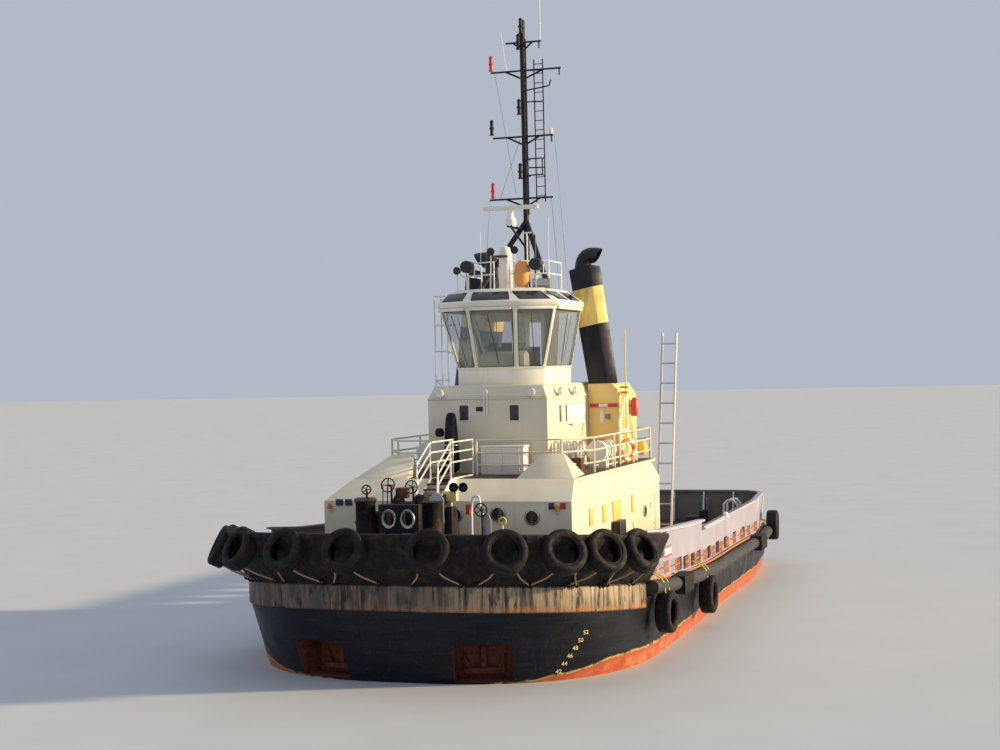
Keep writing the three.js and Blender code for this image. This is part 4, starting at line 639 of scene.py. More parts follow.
# half beam, ends at the bow and stern, fullness of the bow, height amidships and at the stern
LEVELS = [
    (2.0, 10.6, -12.8, 2.0, KEEL, -1.5),
    (4.4, 11.9, -13.4, 2.2, -3.45, -1.33),
    (5.15, 12.7, -13.8, 2.4, -1.7, -0.8),
    (5.42, 13.3, -14.0, 2.6, 0.0, 0.0),
]
DECK_POWER = 2.8
BELT_DEPTH = 0.73
BOW_STEPS = 40
SIDE_KINKS = (3.75, 0.0, -3.0, -9.0)


def deck_height(x):
    """Height of the deck edge."""
    for (x0, z0), (x1, z1) in zip(SHEER, SHEER[1:]):
        if x >= x1:
            return z0 + (z1 - z0) * (x0 - x) / (x0 - x1)
    return SHEER[-1][1]


def side_taper(x):
    """Share of the full beam that the side keeps as it draws in aft."""
    return 1 - 0.04 * min(1, max(0, (SHOULDER - x) / 11)) ** 2


def half_plan(half, bow, stern, power):
    """Port half of a level's outline, from the stem to the middle of the stern."""
    points = []
    for i in range(BOW_STEPS + 1):
        angle = i / BOW_STEPS * math.pi / 2
        x = SHOULDER + (bow - SHOULDER) * max(0, math.cos(angle)) ** (2 / power)
        points.append((x, half * math.sin(angle) ** (2 / power)))
    aft_half = half * STERN_TAPER
    radius = min(STERN_RADIUS, aft_half * 0.5)
    points += [(x, half * side_taper(x)) for x in SIDE_KINKS]
    for i in range(9):
        angle = i / 8 * math.pi / 2
        points.append((stern + radius * (1 - math.sin(angle)), aft_half - radius * (1 - math.cos(angle))))
    return points + [(stern, 0)]


def plan_ring(half, bow, stern, power, height, narrow=1.0):
    """A whole level as a ring; narrow draws it in to the centreline."""
    port = half_plan(half, bow, stern, power)
    ring = [(x, y * narrow, height(x)) for x, y in port]
    return ring + [(x, -y * narrow, height(x)) for x, y in port[-2:0:-1]]


def level_height(flat, aft):
    """A level that lies flat forward and changes height over the nine metres aft of amidships."""
    return lambda x: flat + (aft - flat) * min(1, max(0, -x / 9))


def deck_edge():
    """The deck edge as distance from the stem, x and y."""
    line = [(0.0, BOW, 0.0)]
    for x, y in half_plan(HALF_BEAM, BOW, STERN, DECK_POWER)[1:]:
        at, x0, y0 = line[-1]
        line.append((at + math.hypot(x - x0, y - y0), x, y))
    return line


EDGE = deck_edge()
EDGE_HALF = EDGE[-1][0]


def edge_place(distance):
    """x and y at a distance from the stem, positive to port, past the stern on the other side."""
    round_stern = abs(distance) > EDGE_HALF
    at = 2 * EDGE_HALF - abs(distance) if round_stern else abs(distance)
    side = 1 if (distance < 0) == round_stern else -1
    for (a0, x0, y0), (a1, x1, y1) in zip(EDGE, EDGE[1:]):
        if a1 >= at:
            t = (at - a0) / (a1 - a0)
            return x0 + t * (x1 - x0), side * (y0 + t * (y1 - y0))
    return EDGE[-1][1], 0.0


def edge_out(distance):
    """The way outboard at a distance along the deck edge."""
    x0, y0 = edge_place(distance - 0.1)
    x1, y1 = edge_place(distance + 0.1)
    return Vector((y1 - y0, x0 - x1, 0)).normalized()


def on_edge(distance, out=0.0, up=0.0):
    """A point at a distance along the deck edge, so far outboard of it and above it."""
    x, y = edge_place(distance)
    return Vector((x, y, deck_height(x) + up)) + edge_out(distance) * out


def edge_at_x(x):
    """Distance from the stem to a place along the port side."""
    for (a0, x0, _), (a1, x1, _) in zip(EDGE, EDGE[1:]):
        if x1 <= x:
            return a0 + (a1 - a0) * (x0 - x) / (x0 - x1)
    return EDGE_HALF


def edge_strip(name, start, end, section, step=0.3, soft=0.012):
    """A strip along the deck edge; section gives its outline as outboard, above the edge."""
    count = max(2, round(abs(end - start) / step))
    rings = []
    for k in range(count + 1):
        at = start + (end - start) * k / count
        x = edge_place(at)[0]
        rings.append([on_edge(at, out, up) for out, up in section(x)])
    return eased(skin(name, rings), soft)


# Hull

POCKET = {"along": 2.35, "width": 1.5, "top": 1.05, "bottom": 0.06, "back": 1.47, "front": -0.1}
THRUSTER_PLACE = Vector((-11.0, 2.6, -3.0))
WELL = {"radius": 0.64, "top": -1.2, "bottom": -1.64}
SKEG = [(-2.5, -3.0), (-2.5, KEEL), (-8.6, KEEL), (-9.3, -1.7), (-9.0, -1.3)]
SKEG_HALF = 0.25
# numerals 42 to 52: their turn round the bow and height over the waterline, and the step of each
MARKS = {
    "count": 6, "first": 42, "turn": 0.699, "turn_step": 0.034, "height": 0.20, "rise": 0.195,
    "size": 0.17,
}


def pocket_mouth(side):
    """Where an anchor pocket opens in the side, and the way outboard there."""
    place = on_edge(side * POCKET["along"])
    place.z = 0
    out = edge_out(side * POCKET["along"])
    return facing(place, out), out


def anchor_pocket_cutter(side):
    """The block that is taken out of the bow for an anchor."""
    piece = open_mesh("pocket")
    cube(
        (-POCKET["back"], -POCKET["width"] / 2, POCKET["bottom"]),
        (-POCKET["front"] + 0.3, POCKET["width"] / 2, POCKET["top"]),
    )
    bpy.ops.object.mode_set(mode="OBJECT")
    piece.data.transform(pocket_mouth(side)[0])
    return piece


def in_pocket(face, local, out):
    """True for the walls and the back of an anchor pocket, not the plating round it."""
    between_walls = abs(local.y) < POCKET["width"] / 2 + 0.01
    between_decks = POCKET["bottom"] - 0.01 < local.z < POCKET["top"] + 0.01
    back_or_wall = local.x < -1.4 or face.normal.dot(out) < 0.6
    return between_walls and between_decks and -1.5 < local.x < 0.2 and back_or_wall


def make_hull():
    """The shell up to the deck, with its skeg, thruster wells and anchor pockets."""
    rings = [plan_ring(*LEVELS[0][:4], level_height(*LEVELS[0][4:]), narrow=0.0)]
    rings += [plan_ring(*level[:4], level_height(*level[4:])) for level in LEVELS]
    deck_level = (HALF_BEAM, BOW, STERN, DECK_POWER)
    rings.append(plan_ring(*deck_level, lambda x: deck_height(x) - BELT_DEPTH))
    rings.append(plan_ring(*deck_level, deck_height))
    rings += [plan_ring(*deck_level, deck_height, narrow) for narrow in (0.6, 0.3, 0.0)]
    hull = skin("hull_shell", rings, closed=False)
    built_in(hull, slab("skeg", SKEG, "y", -SKEG_HALF, SKEG_HALF, 0.03))
    for side in (1, -1):
        well = Vector((THRUSTER_PLACE.x, side * THRUSTER_PLACE.y, 0))
        low = well + Vector((0, 0, WELL["bottom"]))
        built_in(hull, drum("well", low, well + Vector((0, 0, WELL["top"])), WELL["radius"], 0.02, 32))
        cut(hull, anchor_pocket_cutter(side))
    eased(hull, 0, 30)
    hull.data.materials.append(HULL)
    painted_faces(hull, DECK, lambda face: face.normal.z > 0.8 and face.center.z > 1.4)
    for side in (1, -1):
        place, out = pocket_mouth(side)
        inward = place.inverted()
        painted_faces(hull, ANCHOR_RUST, lambda face: in_pocket(face, inward @ face.center, out))
    set_in(hull, None, "hull_paint", "hull")


def flare_point(turn, height):
    """A point on the bow's flare at a share of the round and a height over the waterline."""
    ends = []
    for half, bow, power in ((LEVELS[3][0], LEVELS[3][1], LEVELS[3][3]), (HALF_BEAM, BOW, DECK_POWER)):
        x = SHOULDER + (bow - SHOULDER) * math.cos(turn) ** (2 / power)
        ends.append(Vector((x, half * math.sin(turn) ** (2 / power), 0)))
    place = ends[0].lerp(ends[1], height / (deck_height(ends[1].x) - BELT_DEPTH))
    place.z = height
    return place


def make_draught_marks():
    """Plain numbers up the port bow, one for each two tenths of a metre."""
    marks = []
    for k in range(MARKS["count"]):
        turn = MARKS["turn"] + MARKS["turn_step"] * k
        height = MARKS["height"] + MARKS["rise"] * k
        point = flare_point(turn, height)
        along = (flare_point(turn + 0.03, height) - flare_point(turn - 0.03, height)).normalized()
        lean = (flare_point(turn, height + 0.1) - point).normalized()
        out = along.cross(lean).normalized()
        bpy.ops.object.select_all(action="DESELECT")
        bpy.ops.object.text_add()
        text = bpy.context.object
        text.data.body = str(MARKS["first"] + 2 * k)
        text.data.size = MARKS["size"]
        text.data.extrude = 0.004
        text.data.resolution_u = 2
        bpy.ops.object.convert(target="MESH")
        mark = bpy.context.object
        place = Matrix((along, lean, out)).transposed().to_4x4()
        mark.data.transform(Matrix.Translation(point + out * 0.010 - along * 0.1) @ place)
        marks.append(mark)
    set_in(joined("draught_marks_port", marks), MARK_YELLOW, "hull_paint")


BELT_END = 9.7
BELT_THICK = 0.07


def make_belt():
    """The bare steel band round the bow under the deck edge."""
    section = [
        (HAIR, -BELT_DEPTH + 0.02), (BELT_THICK, -BELT_DEPTH + 0.06), (BELT_THICK, -0.07), (HAIR, -0.03),
    ]
    end = edge_at_x(BELT_END)
    belt = edge_strip("steel_belt", -end, end, lambda x: section, soft=0.015)
    set_in(belt, BELT, "bare_steel", "belt")


# Fenders

FENDER_LEAN = math.radians(24)
FENDER_RISE = 1.25
FENDER_END = 9.55
# distances from the stem, negative to starboard
BOW_TYRES = [-6.95, -5.45, -3.95, -2.41, -0.84, 1.28, 2.94, 4.18, 5.18, 6.31]
BOW_TYRE = {"out": 0.76, "up": 0.87, "tip": math.radians(27)}


TREAD_RADIUS = 0.5585


def make_tyre():
    """A worn truck tyre about the X axis: a hollow carcass with grooved tread."""
    side = [
        (0.340, 0.120), (0.344, 0.160), (0.366, 0.190), (0.386, 0.188), (0.402, 0.206),
        (0.445, 0.220), (0.490, 0.216), (0.530, 0.196), (0.556, 0.168), (0.568, 0.138),
        (0.570, 0.084), (0.556, 0.078), (0.556, 0.060), (0.570, 0.054),
    ]
    inner = [(0.540, 0.0), (0.532, 0.118), (0.500, 0.172), (0.430, 0.180), (0.380, 0.150)]
    outer = [(r, -h) for r, h in side] + [(r, h) for r, h in reversed(side)]
    profile = outer + [(r, h) for r, h in reversed(inner[1:])] + [(r, -h) for r, h in inner]
    steps = 72
    tyre = turned("tyre", profile, (0, 0, 0), (1, 0, 0), steps, 50)
    step = 2 * math.pi / steps
    for face in tyre.data.polygons:
        radius = math.hypot(face.center.y, face.center.z)
        sector = int(math.atan2(face.center.z, face.center.y) / step + (steps + 1) / 2)
        face.select = radius > TREAD_RADIUS and sector % 4 == 0 and face.normal.dot(face.center) > 0
    bpy.ops.object.mode_set(mode="EDIT")
    bpy.ops.mesh.extrude_region_shrink_fatten(TRANSFORM_OT_shrink_fatten={"value": -0.011})
    bpy.ops.object.mode_set(mode="OBJECT")
    return tyre


def hung(distance, out, height, tip=0.0):
    """Where a tyre hangs on the deck edge, its face outboard and tipped up by tip."""
    axis = edge_out(distance) * math.cos(tip) + Vector((0, 0, math.sin(tip)))
    x, y = edge_place(distance)
    point = Vector((x, y, height)) + edge_out(distance) * out
    return facing(point, axis)


def make_bow_fender():
    """The raked rubber wall round the bow and the tyres that hang on it."""
    reach = FENDER_RISE * math.tan(FENDER_LEAN)
    section = [
        (-0.15, HAIR), (0.06, HAIR), (0.21, 0.16), (reach + 0.14, FENDER_RISE - 0.06),
        (reach + 0.14, FENDER_RISE + 0.04), (reach - 0.06, FENDER_RISE + 0.04), (0.0, 0.16),
    ]
    end = edge_at_x(FENDER_END)
    wall = edge_strip("fender_wall", -end, end, lambda x: section, soft=0.03)
    set_in(wall, RUBBER, "fender_rubber", "bow_fender")
    places = []
    for distance in BOW_TYRES:
        height = deck_height(edge_place(distance)[0]) + BOW_TYRE["up"]
        places.append(hung(distance, BOW_TYRE["out"], height, BOW_TYRE["tip"]))
    tyres = spread("bow_tyres", make_tyre(), places)
    set_in(tyres, RUBBER, "fender_rubber")


def make_strops():
    """Each bow tyre's lashings, from its lower side to lugs at the fender's foot."""
    ropes = []
    lugs = []
    for distance in BOW_TYRES:
        for way in (-1, 1):
            lug = distance + way * 0.62
            start = on_edge(distance + way * 0.22, 0.86, 0.42)
            ropes.append([start, on_edge(distance + way * 0.34, 0.55, 0.22), on_edge(lug, 0.12, 0.0)])
            lugs.append(facing(on_edge(lug, 0.09, -0.02), edge_out(lug)))
    set_in(rods("tyre_strops", ropes, 0.022, 8, 0.1), ROPE, "fender_rubber")
    section = [(0.03, -0.015), (0.075, -0.02), (0.075, 0.02), (0.03, 0.015)]
    eye = turned("lug", section, (0.05, 0, 0.02), (0, 1, 0), 12)
    set_in(spread("strop_lugs", eye, lugs), IRON, "bare_steel")


TUBE = {"radius": 0.19, "drop": 0.15}
SPONSONS = (6.3, -7.8)
SPONSON = {"depth": 0.44, "length": 1.25, "height": 0.52, "sink": 0.17}
SIDE_TYRES = ((8.75, 1.30), (3.0, 1.0), (-12.1, 1.65))
SIDE_FENDER = {"fore": 9.53, "aft": -12.6, "gap": 0.04}


def make_sponson(x):
    """A hollow square fender with a round bore in each end."""
    distance = edge_at_x(x)
    point = on_edge(distance, SPONSON["depth"] / 2 + 0.001, -SPONSON["sink"])
    depth, length, height = (SPONSON[key] / 2 for key in ("depth", "length", "height"))
    piece = boxes("sponson", [((-depth, -length, -height), (depth, length, height))], 0.035)
    cut(piece, drum("bore", (0, -length - 0.1, 0), (0, length + 0.1, 0), 0.13))
    piece.data.transform(facing(point, edge_out(distance)))
    return eased(piece, 0)


def side_strap(x, way):
    """A strap from a side tyre up over the deck edge."""
    distance = edge_at_x(x) + way * 0.2
    return [on_edge(distance, out, up) for out, up in ((0.36, 0.1 - 0.45), (0.30, 0.05), (-0.1, 0.25))]


def make_side_fenders():
    """The rubber tube along each side, its square blocks, and the tyres over it."""
    turns = [(k + 0.5) / 16 * 2 * math.pi for k in range(16)]
    section = [
        (max(0.002, TUBE["radius"] * (1 + math.cos(a)) - 0.02), -TUBE["drop"] + TUBE["radius"] * math.sin(a))
        for a in turns
    ]
    gap = SPONSON["length"] / 2 + SIDE_FENDER["gap"]
    fore, aft = SPONSONS
    runs = ((SIDE_FENDER["fore"], fore + gap), (fore - gap, aft + gap), (aft - gap, SIDE_FENDER["aft"]))
    tubes = [edge_strip("tube", edge_at_x(a), edge_at_x(b), lambda x: section, soft=0) for a, b in runs]
    tube = joined("fender_tube_port", tubes)
    places = [hung(edge_at_x(x), 0.33, height) for x, height in SIDE_TYRES]
    tyres = spread("side_tyres_port", make_tyre(), places)
    blocks = joined("sponsons_port", [make_sponson(x) for x in SPONSONS])
    straps = [side_strap(x, way) for x, _ in SIDE_TYRES for way in (-1, 1)]
    strap = rods("tyre_straps_port", straps, 0.02, 8, 0.15)
    both_sides(tube, GREY_RUBBER, "fender_rubber", "fender")
    both_sides(tyres, RUBBER, "fender_rubber")
    both_sides(blocks, RUBBER, "fender_rubber")
    both_sides(strap, YELLOW, "fender_rubber")


# Bulwarks

def make_bulwarks():
    """Lilac panels, darker on the side that faces the deck."""
    for side, _ in SIDES:
        panel = dressed("bulwark_" + side, 0.012)
        panel.data.materials.clear()
        panel.data.materials.append(LILAC)
        painted_faces(panel, BULWARK_IN, lambda face: face.normal.y * face.center.y < -0.3)
        set_in(panel, None, "bulwark_paint", "bulwark_" + side)
    stern = dressed("bulwark_stern", 0.012)
    stern.data.materials.clear()
    stern.data.materials.append(LILAC)
    painted_faces(
        stern, BULWARK_IN,
        lambda face: face.normal.x * (face.center.x + 10) + face.normal.y * face.center.y < -0.3,
    )
    set_in(stern, None, "bulwark_dark", "bulwark_stern")


# Deckhouse

def make_houses():
    """Houses, casings and locker, whose solids have their shape already."""
    for node, finish, slot, soft in (
        ("lower_house", CREAM, "cream_paint", 0.04),
        ("upper_house", CREAM, "cream_paint", 0.05),
        ("bridge_deck", CREAM, "cream_paint", 0.03),
        ("wheelhouse_base", ROOF_CREAM, "cream_paint", 0.02),
        ("wheelhouse_frame", ROOF_CREAM, "cream_paint", 0.012),
        ("funnel_casing_port", CASING_YELLOW, "yellow_paint", 0.04),
        ("funnel_casing_starboard", CASING_YELLOW, "yellow_paint", 0.04),
        ("locker", WHITE, "white_paint", 0.012),
    ):
        set_in(dressed(node, soft), finish, slot, node)


def railing(line, floor, height, levels, spacing):
    """Bars and posts of a handrail along a line of x, y points."""
    bars = [[(x, y, floor + height * level) for x, y in line] for level in levels]
    posts = []
    for index, ((x0, y0), (x1, y1)) in enumerate(zip(line, line[1:])):
        count = max(1, round(math.hypot(x1 - x0, y1 - y0) / spacing))
        for k in range(1 if index else 0, count + 1):
            x, y = x0 + (x1 - x0) * k / count, y0 + (y1 - y0) * k / count
            posts.append([(x, y, floor - 0.02), (x, y, floor + height)])
    return bars, posts


RAIL_HEIGHT = 1.01
# height of the raised forward corners' tops, then their outlines at the deck and at the top
CORNER_TOP = 5.46
CORNER_FOOT_PLAN = [(8.399, 1.6), (8.399, 3.29), (6.5, 3.1), (6.5, 2.0)]
CORNER_HEAD_PLAN = [(7.05, 1.96), (7.05, 2.63), (6.97, 2.63), (6.97, 1.96)]
# the handrail's line, with the gate over the stairs between its ends
RAIL_LINE = [
    (6.85, -0.06), (6.85, 2.5), (5.7, 3.15), (-1.45, 3.15), (-1.45, -3.15), (5.7, -3.15), (6.85, -2.5),
    (6.85, -0.88),
]


def make_boat_deck():
    """The deck over the lower house, its raised corners and its rails."""
    deck = boxes(
        "boat_deck_plate",
        [((HOUSE_AFT - 0.85, -DECK_HALF, BOAT_DECK - 0.09), (SLOPE_TOP - HAIR, DECK_HALF, BOAT_DECK))],
        0.015,
    )
    deck.data.materials.append(CREAM)
    painted_faces(deck, DECK, lambda face: face.normal.z > 0.9)
    set_in(deck, None, "cream_paint", "boat_deck")
    levels = ((CORNER_FOOT_PLAN, BOAT_DECK - 0.02), (CORNER_HEAD_PLAN, CORNER_TOP))
    rings = [[Vector((x, y, z)) for x, y in plan] for plan, z in levels]
    both_sides(eased(skin("raised_corner_port", rings), 0.02), CREAM, "cream_paint")
    bars, posts = railing(RAIL_LINE, BOAT_DECK, RAIL_HEIGHT, (0.28, 0.64, 1), 2.3)
    set_in(rods("boat_deck_rails", bars, 0.026, 8, 0.12), CREAM, "cream_paint")
    set_in(rods("boat_deck_posts", posts, 0.034), CREAM, "cream_paint")


STAIRS = {"starboard": -0.78, "port": -0.17, "cheek": 0.05}
HANDRAIL_RISES = (0.42, 0.70, 0.98)


def make_stairs():
    """A steep flight up the house front, then a shallow one up its sloping top."""
    y0, y1, cheek = STAIRS.values()
    foot = deck_height(10.105) + HAIR
    flight = [(10.015, foot), (9.89, 4.36), (8.85, 4.91), (6.95, 4.91)]
    outline = [
        (9.925, foot), (10.105, foot), (9.98, 4.30), (8.85, 4.89), (6.95, 4.89), (6.95, 4.851), (8.4, 4.851),
        (9.781, 4.321), (9.781, 3.72),
    ]
    cheeks = [slab("cheek", outline, "y", y, y + cheek, 0.006) for y in (y0, y1)]
    treads = []
    for i, count in ((0, 6), (1, 3)):
        for k in range(1, count + 1):
            t = k / (count + 1)
            x = flight[i][0] + (flight[i + 1][0] - flight[i][0]) * t
            z = flight[i][1] + (flight[i + 1][1] - flight[i][1]) * t
            treads.append(((x - 0.09, y0 + 0.02, z - 0.045), (x + 0.06, y1 + 0.03, z)))
    treads.append(((6.96, y0 + 0.02, 4.852), (8.85, y1 + 0.03, 4.888)))
    set_in(joined("stair_cheeks", cheeks), WHITE, "white_paint", "front_stairs")
    set_in(boxes("stair_treads", treads, 0.006), COPPER_RUST, "deck_gear")
    rails = []
    for y in (y0 + cheek / 2, y1 + cheek / 2):
        for rise in HANDRAIL_RISES:
            rails.append([(x, y, z + rise) for x, z in flight[1:]])
        rails += [[(x, y, z - 0.06), (x, y, z + HANDRAIL_RISES[-1])] for x, z in flight[1:]]
        rails.append([(9.89, y, 5.34), (10.0, y, 4.5), (10.01, y, foot + 0.5)])
    set_in(rods("stair_rails", rails, 0.022, 8, 0.15), WHITE, "white_paint")


# Wheelhouse

# x of the front, half width of its face, x of the shoulder, half beam, aft shoulder, aft face
SILL_PLAN = (5.0, 0.63, 4.575, 1.375, 1.645, 0.9)
EAVES_PLAN = (5.45, 0.76, 4.829, 1.85, 1.99, 0.9)


AFT_WALL = 3


def glazed_walls():
    """The corners at both ends of each wheelhouse wall but the aft one."""
    return [(i, (i + 1) % 8) for i in range(8) if i != AFT_WALL]


def octagon(plan, inset, z):
    """The wheelhouse's outline at a height, drawn in by an inset all round."""
    front, face, shoulder, half, aft_shoulder, aft = plan
    nose = math.atan2(front - shoulder, half - face)
    tail = math.atan2(aft_shoulder - aft, half - face)
    port = [
        (front - inset, face - inset * math.tan(nose / 2)),
        (shoulder - inset * math.tan((math.pi / 2 - nose) / 2), half - inset),
        (aft_shoulder + inset * math.tan((math.pi / 2 - tail) / 2), half - inset),
        (aft + inset, face - inset * math.tan(tail / 2)),
    ]
    ring = [Vector((x, y, z)) for x, y in port]
    return ring + [Vector((p.x, -p.y, z)) for p in reversed(ring)]


def make_wheelhouse_roof():
    """The roof with its eaves, and the dark panes in its slopes."""
    rings = [
        octagon(EAVES_PLAN, 0.35, EAVES + 0.02), octagon(EAVES_PLAN, -0.06, EAVES + HAIR),
        octagon(EAVES_PLAN, -0.07, EAVES + 0.15), octagon(EAVES_PLAN, 0.38, ROOF - 0.05),
        octagon(EAVES_PLAN, 0.48, ROOF),
    ]
    roof = eased(skin("wheelhouse_roof_shell", rings), 0.02)
    set_in(roof, ROOF_CREAM, "cream_paint", "wheelhouse_roof")
    panes = []
    low, high = rings[2], rings[3]
    for i, j in glazed_walls():
        a, b, d = low[j], low[i], high[j]
        out = (d - a).cross(b - a).normalized()
        out = out if out.z > 0 else -out
        width = (b - a).length
        along = (b - a).normalized()
        rise = d - a
        parts = 2 if width > 2 else 1
        for k in range(parts):
            s0 = 0.16 + (width - 0.16) * k / parts
            s1 = (width - 0.16) * (k + 1) / parts
            foot = a + rise * 0.10
            head = a + rise * 0.86
            corners = [
                foot + along * s0, foot + along * s1, head + along * (s1 - 0.05),
                head + along * (s0 + 0.05),
            ]
            panes.append(plate("sky_pane", [p + out * 0.002 for p in corners], 0.012, 0.05))
    set_in(joined("sky_panes", panes), DARK_GLASS, "window_glass")


def make_gaskets():
    """Rubber seams round each window of the wheelhouse."""
    runs = []
    low = octagon(SILL_PLAN, 0.0, SILL)
    high = octagon(EAVES_PLAN, 0.0, EAVES)
    rise = 0.115 / (EAVES - SILL)
    for i, j in glazed_walls():
        places = ((i, rise), (j, rise), (j, 1 - rise), (i, 1 - rise))
        corners = [low[k].lerp(high[k], t) for k, t in places]
        side = (corners[1] - corners[0]).normalized() * 0.08
        loop = [corners[0] + side, corners[1] - side, corners[2] - side, corners[3] + side]
        runs.append(loop + [loop[0]])
    set_in(rods("window_seals", runs, 0.012, 6, 0.04), BLACK, "fender_rubber")


def make_interior():
    """The console and the helm chairs behind the wheelhouse windows."""
    set_in(dressed("console", 0.03), CONSOLE, "console_grey", "console")
    for side, _ in SIDES:
        set_in(dressed("helm_chair_" + side, 0.03), SEAT, "seat_cover", "helm_chair_" + side)


# Funnels

STACK = {"front": 1.4, "back": -0.6, "foot": CASING_TOP, "head": 11.0, "cut": 0.28, "narrow": 0.45}
COWL = {"x": 0.5, "radius": 0.28}
# y, z and tip in degrees of each ring of the cowl's bend
COWL_LINE = ((1.50, 10.5, 0), (1.51, 11.18, 8), (1.58, 11.40, 40), (1.76, 11.53, 78), (2.02, 11.48, 120))


def stack_ring(t, height):
    """The stack's outline, its foot at t = 0 and its head at 1, its heights from a function of x and y."""
    inner = 1.86 - 0.57 * t
    outer = 2.75 - 0.50 * t
    back = STACK["back"] + 0.35 * t
    plan = [
        (STACK["front"], inner), (STACK["front"], outer - STACK["cut"]),
        (STACK["front"] - STACK["cut"], outer), (back, outer - STACK["narrow"]), (back, inner),
    ]
    return [Vector((x, y, height(x, y - inner))) for x, y in plan]


def make_funnels():
    """A leaning stack with a bent cowl on each side."""
    foot = stack_ring(0, lambda x, out: STACK["foot"] + HAIR)
    head = stack_ring(1, lambda x, out: STACK["head"] + 0.25 * out - 0.42 * (STACK["front"] - x))
    rings = [[a.lerp(b, k / 6) for a, b in zip(foot, head)] for k in range(7)]
    stack = eased(skin("funnel_stack_port", rings), 0.03)
    rings = []
    for y, z, tip in COWL_LINE:
        lean = math.radians(tip)
        ring = []
        for k in range(24):
            angle = k / 24 * 2 * math.pi
            across = COWL["radius"] * math.sin(angle)
            ring.append(
                (
                    COWL["x"] + COWL["radius"] * math.cos(angle), y + across * math.cos(lean),
                    z - across * math.sin(lean),
                ),
            )
        rings.append(ring)
    cowl = skin("funnel_cowl_port", rings, closed=False)
    shaped(cowl, "SUBSURF", levels=1)
    shaped(cowl, "SOLIDIFY", thickness=0.02, offset=-1)
    eased(cowl, 0)
    both_sides(stack, FUNNEL, "black_paint", "funnel")
    both_sides(cowl, BLACK, "black_paint")


# Mast

# height of each yard and its reach to port and to starboard
YARDS = ((18.3, 0.62, 0.56), (17.4, 1.25, 1.08), (15.3, 0.95, 1.05), (13.33, 0.9, 1.2))
RADAR = Vector((MAST_X + 1.15, -0.15, 12.64))
LADDER = {"x": MAST_X - 0.12, "inner": 0.33, "outer": 0.62, "foot": 13.2, "head": 17.75}


def make_mast():
    """The mast with its legs, yards and ladder, and the radar on its shelf."""
    meet = (MAST_X, 0, 12.6)
    legs = rods("mast_legs", [[(MAST_X + 1.5, y, ROOF), meet] for y in (1.15, -1.15)], 0.085, 12)
    pole = rods("mast_pole", [[(MAST_X, 0, ROOF), (MAST_X, 0, 19.0)]], 0.09, 14)
    thin = []
    for z, port, starboard in YARDS:
        thin.append([(MAST_X, -starboard, z), (MAST_X, port, z)])
        thin.append([(MAST_X, -starboard * 0.55, z), (MAST_X, 0, z - 0.28)])
        thin.append([(MAST_X, port * 0.55, z), (MAST_X, 0, z - 0.28)])
    yards = rods("mast_yards", thin, 0.03, 8)
    x, inner, outer, foot, head = LADDER.values()
    ladder = [[(x, y, foot), (x, y, head)] for y in (inner, outer)]
    rungs = [[(x, inner, 13.4 + 0.3 * k), (x, outer, 13.4 + 0.3 * k)] for k in range(15)]
    ladder += [[(MAST_X, 0, z), (x, outer, z)] for z in (13.33, 14.3, 15.3, 16.4, 17.4)]
    rails = rods("mast_ladder", ladder, 0.022, 8)
    steps = rods("mast_rungs", rungs, 0.014, 6)
    bracket = boxes("radar_shelf", [((MAST_X - 0.06, -0.24, 12.33), (RADAR.x + 0.15, -0.06, 12.38))], 0.006)
    strut = rods("radar_strut", [[(MAST_X, 0, 11.7), (RADAR.x, RADAR.y, 12.35)]], 0.035)
    set_in(
        joined("mast_frame", [pole, legs, yards, rails, steps, bracket, strut]), MAST, "black_paint",
        "mast",
    )
    gearbox = turned(
        "radar_gearbox",
        [(0, -0.29), (0.15, -0.29), (0.17, -0.2), (0.17, -0.06), (0.12, 0.0), (0, 0.0)], RADAR,
    )
    set_in(gearbox, WHITE, "white_plastic")
    whip = rods("whip_aerial", [[(MAST_X, 0.6, 18.3), (MAST_X, 0.6, 19.9)]], 0.012)
    set_in(whip, WHITE, "white_plastic")
    scanner = boxes(
        "radar_bar",
        [
            (
                (RADAR.x - 0.06, RADAR.y - 0.9, RADAR.z + 0.24),
                (RADAR.x + 0.06, RADAR.y + 0.9, RADAR.z + 0.37),
            ),
        ],
        0.03,
    )
    neck = drum("neck", RADAR + Vector((0, 0, HAIR)), RADAR + Vector((0, 0, 0.26)), 0.09)
    set_in(
        joined("radar_scanner_bar", [scanner, neck]), ROOF_CREAM, "white_plastic", "radar_scanner",
        body="radar_scanner",
    )


